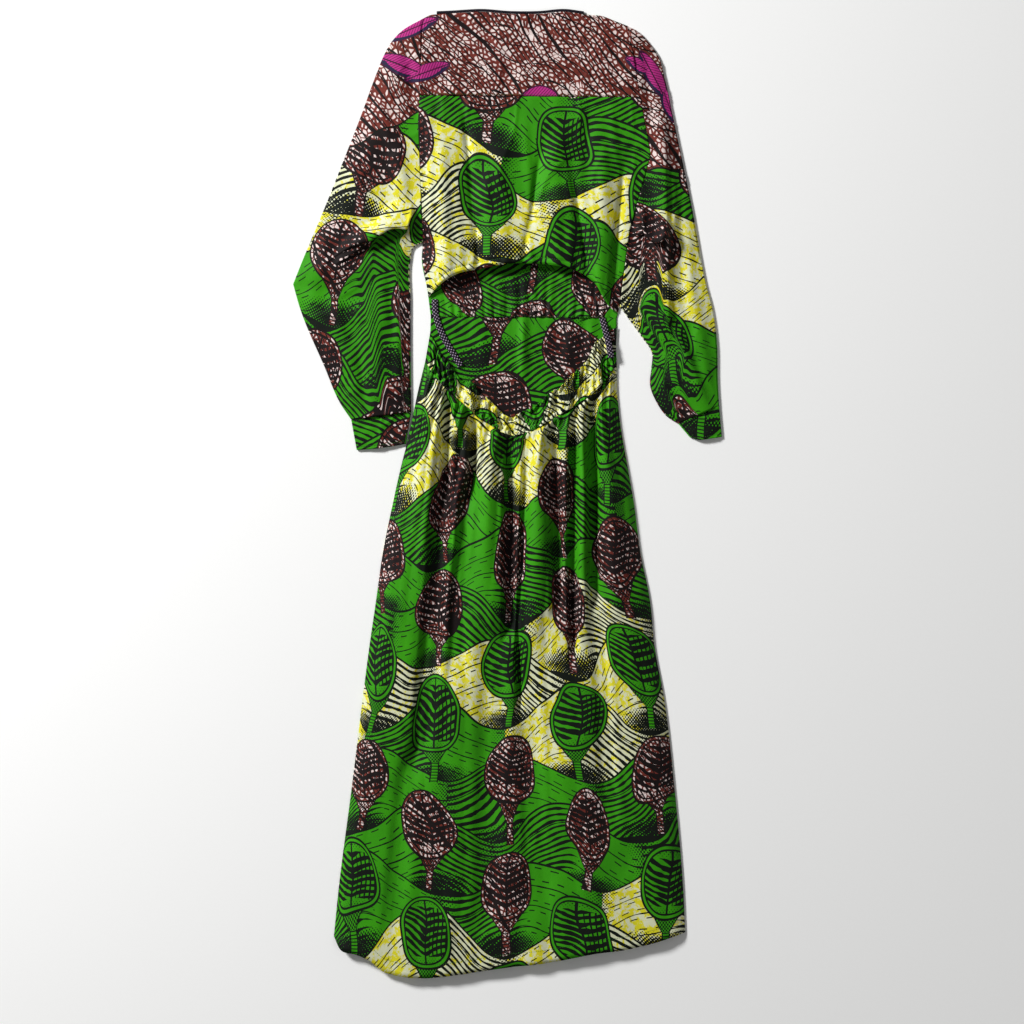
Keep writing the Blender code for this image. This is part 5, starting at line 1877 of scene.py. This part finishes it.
def sleeve_print(side):
    """Wax-print cotton with crackle over the shoulder and the green print below, parted by a black line."""
    start, end = SLEEVE_BOUNDS[side]
    slope = (end[1] - start[1]) / (end[0] - start[0])

    def colour(tree):
        values = page_places(tree)
        steps = (
            ("bound_run", "SUBTRACT", "page_x", start[0]),
            ("bound", "MULTIPLY_ADD", "bound_run", slope, start[1]),
            ("bound_turn", "MULTIPLY", "page_x", 0.11),
            ("bound_wave", "SINE", "bound_turn"),
            ("bound_bent", "MULTIPLY_ADD", "bound_wave", 3, "bound"),
            ("below", "SUBTRACT", "page_y", "bound_bent"),
            ("is_below", "GREATER_THAN", "below", 0),
            ("bound_gap", "ABSOLUTE", "below"),
            ("bound_line", "LESS_THAN", "bound_gap", 1.4),
            ("both", "MIX", "is_below", "upper", "lower"),
            ("colour", "MIX", "bound_line", "both", "ink"),
        )
        values["upper"] = leaves_over(tree, values, group_colour(tree, "Wax crackle"), (side,))
        values["lower"] = group_colour(tree, "Wax print")
        reckon(tree, values, steps)
        return values["colour"]

    return cloth_material(f"Wax-print cotton, {side} sleeve", colour)


def neck_binding():
    """Plain black cotton binding."""
    return cloth_material("Black cotton binding", lambda tree: colour_of("binding"))


def binding_print():
    """Bias binding in black cotton with lilac spots, DOT_PITCH apart in staggered rows."""

    def colour(tree):
        values = flat_parts(tree, flat_cloth(tree), "x", "y")
        steps = (
            ("spot_x", "MULTIPLY", "x", TAU / DOT_PITCH),
            ("spot_y", "MULTIPLY", "y", TAU / DOT_PITCH),
            ("spot_across", "COSINE", "spot_x"),
            ("spot_down", "COSINE", "spot_y"),
            ("spots", "MULTIPLY", "spot_across", "spot_down"),
            ("spot", "GREATER_THAN", "spots", 0.5),
            ("colour", "MIX", "spot", "binding", "lilac"),
        )
        reckon(tree, values, steps)
        return values["colour"]

    return cloth_material("Spotted cotton binding", colour)


def thread():
    """Polyester sewing thread, twisted, which gives it a faint sheen along each stitch."""
    name = "Polyester thread"
    found = bpy.data.materials.get(name)
    if found is not None:
        return found
    material, inputs = new_material(name, {"Roughness": 0.5})
    tree = material.node_tree
    place = add(tree, "ShaderNodeTexCoord", (), 3)
    values = {"twist": add(tree, "ShaderNodeTexNoise", {"Vector": place, "Scale": 1600.0})}
    reckon(tree, values, (("colour", "MIX", "twist", "thread", "deep_green"),))
    tree.links.new(values["colour"], inputs["Base Color"])
    bump = {"Height": values["twist"], "Strength": 0.3, "Distance": 0.0002}
    tree.links.new(add(tree, "ShaderNodeBump", bump), inputs["Normal"])
    return material


def paper():
    """Seamless background paper: matt and near white."""
    material, inputs = new_material("Background paper", {"Roughness": 0.9, "Specular IOR Level": 0.1})
    tree = material.node_tree
    place = add(tree, "ShaderNodeTexCoord", (), 3)
    values = {"grain": add(tree, "ShaderNodeTexNoise", {"Vector": place, "Scale": 240.0})}
    darker = tuple(part * 0.985 for part in colour_of("floor")[:3]) + (1,)
    reckon(tree, values, (("colour", "MIX", "grain", "floor", darker),))
    tree.links.new(values["colour"], inputs["Base Color"])
    return material


# The pieces as operators, their settings and the panel that lists them.


def length_property(name, description, default, low, high):
    """A length setting in metres, with its bounds."""
    return FloatProperty(
        name=name, description=description, default=default, min=low, max=high, unit="LENGTH"
    )


class DressSizes(PropertyGroup):
    """Sizes that a user would change."""

    wall: length_property("Cloth", "Thickness of the cloth shell", 0.0007, 0.0003, 0.0012)
    stitch_pitch: length_property(
        "Stitch length", "Distance from stitch to stitch along a seam", 0.0032, 0.0015, 0.006
    )
    stitch_width: length_property(
        "Stitch width", "Thickness of the sewing thread as it shows", 0.0006, 0.0003, 0.0015
    )
    key_power: IntProperty(
        name="Key light",
        description="Power of the large soft light, in watts",
        default=310,
        min=1,
        max=2000,
    )


def colour_property(name, description, colour):
    """A colour setting with this sRGB default."""
    return FloatVectorProperty(
        name=name, description=description, default=linear(colour), subtype="COLOR", min=0, max=1
    )


class DressColours(PropertyGroup):
    """Colours that a user would change."""

    green: colour_property("Green", "Ground of the print", "#389C03")
    deep_green: colour_property("Deep green", "Ground where the dye took deeper", "#2A8103")
    cream: colour_property("Cream", "Undyed patches of the print", "#D3D6B4")
    yellow: colour_property("Yellow", "Yellow dabs on the cream", "#D2CB22")
    ink: colour_property("Ink", "Black lines of the print", "#050D05")
    brown_ink: colour_property("Brown ink", "Black lines on the crackle", "#120808")
    chalk: colour_property("Chalk", "Palest part of the crackle", "#F0E3DF")
    blush: colour_property("Blush", "Stained white of the crackle", "#CDB4AE")
    russet: colour_property("Russet", "Lighter brown of the crackle", "#7C3226")
    umber: colour_property("Umber", "Darker brown of the crackle", "#4A1A16")
    magenta: colour_property("Magenta", "Leaves on the shoulders", "#B02A7C")
    plum: colour_property("Plum", "Lines on the leaves", "#3A0E2E")
    navy: colour_property("Navy", "Shaded edge of the leaves", "#14203C")
    binding: colour_property("Binding", "Ground of the bindings", "#120E18")
    lilac: colour_property("Lilac", "Spots on the bindings", "#A898AC")
    thread: colour_property("Thread", "Sewing thread", "#16330F")
    floor: colour_property("Paper", "The surface that the dress lies on", "#FBFBFA")


def sizes():
    """The sizes as set in the sidebar."""
    return bpy.context.scene.dress_sizes


def finish_piece(piece, material, slot, *nodes):
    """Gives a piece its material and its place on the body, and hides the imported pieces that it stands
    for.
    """
    piece.data.materials.append(material)
    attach(piece, "root")
    if nodes:
        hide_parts(*nodes)
    return piece


# Each panel: its surface, material, slot, flat size in metres, flat area in square metres, and what it
# rests on.
PANELS = {
    "front_bodice": (front_bodice_surface, green_print, "green_print", (0.38, 0.44), 0.132, "floor"),
    "front_skirt": (front_skirt_surface, green_print, "green_print", (0.56, 0.955), 0.39, "floor"),
    "back_yoke": (yoke_surface, crackle_print, "crackle_print", (0.32, 0.125), 0.037, "front_bodice_cloth"),
    "back_bodice": (bodice_surface, green_print, "green_print", (0.35, 0.32), 0.086, "front_bodice_cloth"),
    "back_skirt_casing": (
        casing_surface,
        green_print,
        "green_print",
        (0.38, 0.048),
        0.0175,
        "front_skirt_cloth",
    ),
    "back_skirt": (skirt_surface, green_print, "green_print", (0.60, 0.90), 0.42, "front_skirt_cloth"),
}


def make_panels(*names):
    """Makes panels from their worked-out surfaces."""
    for name in names:
        worked_out, material, slot, flat, area, below = PANELS[name]
        _, surface, uvs = worked_out()
        piece = cloth(name + "_cloth", surface, uvs, sizes().wall / MM)
        finish_piece(piece, material(), slot, name)
    return {"FINISHED"}


class DRESS_OT_front(Operator):
    """Makes the front bodice and the front of the skirt, flat on the surface"""

    bl_idname = "dress.front"
    bl_label = "Front"

    def execute(self, context):
        return make_panels("front_bodice", "front_skirt")


class DRESS_OT_yoke(Operator):
    """Makes the yoke across the back shoulders"""

    bl_idname = "dress.yoke"
    bl_label = "Yoke"

    def execute(self, context):
        return make_panels("back_yoke")


class DRESS_OT_bodice(Operator):
    """Makes the back bodice with its arched hem"""

    bl_idname = "dress.bodice"
    bl_label = "Back bodice"

    def execute(self, context):
        return make_panels("back_bodice")


class DRESS_OT_skirt(Operator):
    """Makes the elastic casing and the back skirt gathered into it"""

    bl_idname = "dress.skirt"
    bl_label = "Casing and back skirt"

    def execute(self, context):
        return make_panels("back_skirt_casing", "back_skirt")


# Each sleeve, cut open: its surface, flat size in metres and flat area in square metres.
SLEEVES = {
    "left": (left_sleeve, (0.38, 0.62), 0.145),
    "right": (right_sleeve, (0.32, 0.60), 0.100),
}

# Each cuff: its seam with the sleeve, its free end, its rise, the seed of its draws and its flat size in
# metres.
CUFFS = {
    "cuff_left": (moved(LEFT_CUFF_TOP, SEAM / 2), LEFT_CUFF_END, 1.5, 101, (0.17, 0.052)),
    "cuff_right": (moved(RIGHT_CUFF_TOP, -SEAM / 2), RIGHT_CUFF_END, 3.0, 111, (0.115, 0.04)),
}


class DRESS_OT_sleeves(Operator):
    """Makes the two sleeves, each a closed tube with its flap under the arm"""

    bl_idname = "dress.sleeves"
    bl_label = "Sleeves"

    def execute(self, context):
        for side, (worked_out, flat, area) in SLEEVES.items():
            ring, closed_from, uvs = worked_out()
            name = f"sleeve_{side}"
            piece = ring_piece(name + "_cloth", ring, closed_from, uvs, SLEEVE_UPPER, sizes().wall / MM)
            finish_piece(piece, sleeve_print(side), "green_print", name)
        return {"FINISHED"}


class DRESS_OT_cuffs(Operator):
    """Makes the narrow cuffs"""

    bl_idname = "dress.cuffs"
    bl_label = "Cuffs"

    def execute(self, context):
        for name, (*form, flat) in CUFFS.items():
            ring, upper = cuff_ring(*form)
            uvs = ring_map(ring, (0, 0), upper, (0, 1), CUFF_SHIFTS[name])
            piece = ring_piece(name + "_cloth", ring, 0, uvs, upper, sizes().wall / MM)
            finish_piece(piece, green_print(), "green_print", name)
        return {"FINISHED"}


def strip_map(width, columns, centre):
    """The flat-cloth map of a narrow strip, in metres: across its width, then along its centre line."""
    places = np.broadcast_arrays(np.linspace(0, width, columns), lengths(centre)[:, None])
    return np.stack(places, -1) * MM


class DRESS_OT_bindings(Operator):
    """Makes the neck binding and the two bindings beside the opening"""

    bl_idname = "dress.bindings"
    bl_label = "Bindings"

    def execute(self, context):
        material = binding_print()
        casing_points, casing, _ = casing_surface()
        thinned = slice(None, None, THINNING)
        casing_tops = casing[thinned, thinned, 2] / MM
        over_casing = casing_points[thinned, thinned]
        strips = (
            ("opening_binding_left", LEFT_BINDING, lambda centre: np.full(len(centre), WALL + LAYER_GAP)),
            (
                "opening_binding_right",
                RIGHT_BINDING,
                lambda centre: height_over(centre, over_casing, casing_tops),
            ),
        )
        for name, path, under in strips:
            points, surface = strip(path, BINDING_WIDTH, BINDING_CROWN, under, BINDING_STEPS)
            columns = points.shape[1]
            uvs = strip_map(BINDING_WIDTH, columns, points[:, columns // 2])
            piece = cloth(name + "_cloth", surface, uvs, sizes().wall / MM)
            finish_piece(piece, material, "binding", name)
        surface, centre = neck_ring()
        rows = len(surface)
        index = np.arange(rows * NECK_COLUMNS).reshape(rows, NECK_COLUMNS)
        after = np.roll(index, -1, 0)
        quads = np.stack([index[:, :-1], index[:, 1:], after[:, 1:], after[:, :-1]], -1).reshape(-1, 4)
        uvs = strip_map(NECK_BINDING_WIDTH, NECK_COLUMNS, centre).reshape(-1, 2)
        piece = new_mesh("neck_binding_cloth", surface.reshape(-1, 3), quads, uvs[quads])
        thicken(piece, sizes().wall / MM)
        finish_piece(piece, neck_binding(), "binding", "neck_binding")
        return {"FINISHED"}


class DRESS_OT_sewing(Operator):
    """Makes the rows of stitches along the hems and seams"""

    bl_idname = "dress.sewing"
    bl_label = "Sewing"

    def execute(self, context):
        material = thread()
        for name, lines in sewn_lines().items():
            piece = stitch_piece(name, lines, sizes().stitch_pitch / MM, sizes().stitch_width / MM)
            finish_piece(piece, material, None)
        return {"FINISHED"}


def level_line(made, wanted, from_top, inset=0.02):
    """A line across a panel at this distance from its top or bottom edge."""
    points, surface, _ = made
    distance = from_row(points, 0 if from_top else -1)
    columns = np.linspace(inset, 1 - inset, 220) * (points.shape[1] - 1)
    rows = row_near(distance if from_top else distance[::-1], wanted)
    rows = np.interp(columns, np.arange(len(rows)), rows)
    if not from_top:
        rows = points.shape[0] - 1 - rows
    return on_surface(surface, rows, columns)


def ring_lines(ring, upper, rows):
    """Lines across the upper layer of a tube at these rows."""
    columns = np.linspace(1, upper - 2, 90)
    return [on_surface(ring, np.full(len(columns), float(row)), columns) for row in rows]


def sewn_lines():
    """The lines of every row of stitches, by group."""
    yoke = yoke_surface()
    bodice = bodice_surface()
    casing = casing_surface()
    skirt = skirt_surface()
    front = front_bodice_surface()
    casing_rows = CASING_GRID[1] - 1
    casing_columns = np.linspace(8, CASING_GRID[0] - 9, 400)
    bands = [
        on_surface(casing[1], np.full(len(casing_columns), share * casing_rows), casing_columns)
        for share in CASING_ROWS
    ]
    wrists = []
    for *form, _ in CUFFS.values():
        cuff, upper = cuff_ring(*form)
        wrists += ring_lines(cuff, upper, CUFF_STITCH_ROWS)
    ring, _, _ = left_sleeve()
    forearm = np.linspace(SLEEVE_CAP_ROWS + SLEEVE_FLAP_ROWS + 2, len(ring) - 40, 80)
    share = np.linspace(0.36, 0.4, len(forearm)) * SLEEVE_UPPER
    return {
        "stitches_bodice": [
            level_line(yoke, 2.2, False),
            level_line(bodice, HEM_ROW, False, 0.05),
            level_line(front, 1.4, False, 0.06),
        ],
        "stitches_skirt": bands + [level_line(skirt, SKIRT_HEM_ROW, False)],
        "stitches_sleeves": wrists + [on_surface(ring, forearm, share)],
    }


# The stage, in metres: half the side of the paper floor, its place just under the dress, and the room's
# own light.
FLOOR_HALF = 4.0
FLOOR_DROP = 0.0004
ROOM_LIGHT = 0.15
SENSOR_WIDTH = 36
VIEW_END = 50

# Every light looks at this point of the floor.
LIT_POINT = np.array((0, -0.05, 0))


class DRESS_OT_stage(Operator):
    """Makes the paper floor, the soft lights and the camera straight above"""

    bl_idname = "dress.stage"
    bl_label = "Stage"

    def execute(self, context):
        scene = context.scene
        corners = ((-1, -1), (1, -1), (1, 1), (-1, 1))
        mesh = bpy.data.meshes.new("floor")
        places = [(x * FLOOR_HALF, y * FLOOR_HALF, -FLOOR_DROP) for x, y in corners]
        mesh.from_pydata(places, [], [(0, 1, 2, 3)])
        floor = bpy.data.objects.new("floor", mesh)
        mesh.materials.append(paper())
        scene.collection.objects.link(floor)

        world = bpy.data.worlds.new("Soft room")
        world.use_nodes = True
        background = world.node_tree.nodes["Background"].inputs
        background["Color"].default_value = (1, 1, 1, 1)
        background["Strength"].default_value = ROOM_LIGHT
        scene.world = world
        for name, place, size, power in LIGHTS:
            data = bpy.data.lights.new(name, "AREA")
            data.shape = "DISK"
            data.size = size
            data.energy = power * sizes().key_power
            light = bpy.data.objects.new(name, data)
            light.location = place
            aim = LIT_POINT - place
            light.rotation_mode = "XYZ"
            tilt = math.acos(-aim[2] / np.linalg.norm(aim))
            light.rotation_euler = (tilt, 0, math.atan2(aim[0], -aim[1]) + math.pi)
            scene.collection.objects.link(light)

        view = bpy.data.cameras.new("Camera")
        view.sensor_width = SENSOR_WIDTH
        view.lens = SENSOR_WIDTH * CAMERA_HEIGHT / (PHOTO_WIDTH * MM)
        view.clip_end = VIEW_END
        camera = bpy.data.objects.new("Camera", view)
        camera.location = (PHOTO_MIDDLE[0] * MM, PHOTO_MIDDLE[1] * MM, CAMERA_HEIGHT)
        scene.collection.objects.link(camera)
        scene.camera = camera
        scene.view_settings.view_transform = "Standard"
        scene.view_settings.look = "None"
        return {"FINISHED"}


class DRESS_PT_panel(Panel):
    """Lists the settings and the pieces"""

    bl_label = "Open-back dress"
    bl_idname = "DRESS_PT_panel"
    bl_space_type = "VIEW_3D"
    bl_region_type = "UI"
    bl_category = "Dress"

    def draw(self, context):
        for group in (context.scene.dress_sizes, context.scene.dress_colours):
            for name in group.__annotations__:
                self.layout.prop(group, name)
        for operator in OPERATORS:
            self.layout.operator(operator.bl_idname)


OPERATORS = (
    DRESS_OT_stage,
    DRESS_OT_front,
    DRESS_OT_yoke,
    DRESS_OT_bodice,
    DRESS_OT_skirt,
    DRESS_OT_sleeves,
    DRESS_OT_cuffs,
    DRESS_OT_bindings,
    DRESS_OT_sewing,
)
CLASSES = (DressSizes, DressColours) + OPERATORS + (DRESS_PT_panel,)


def register():
    """Registers the classes and their settings."""
    for item in CLASSES:
        bpy.utils.register_class(item)
    bpy.types.Scene.dress_sizes = PointerProperty(type=DressSizes)
    bpy.types.Scene.dress_colours = PointerProperty(type=DressColours)


def unregister():
    """Removes the settings and the classes."""
    del bpy.types.Scene.dress_sizes
    del bpy.types.Scene.dress_colours
    for item in reversed(CLASSES):
        bpy.utils.unregister_class(item)


def main():
    register()
    for operator in OPERATORS:
        group, name = operator.bl_idname.split(".")
        getattr(getattr(bpy.ops, group), name)()


if __name__ == "__main__":
    main()
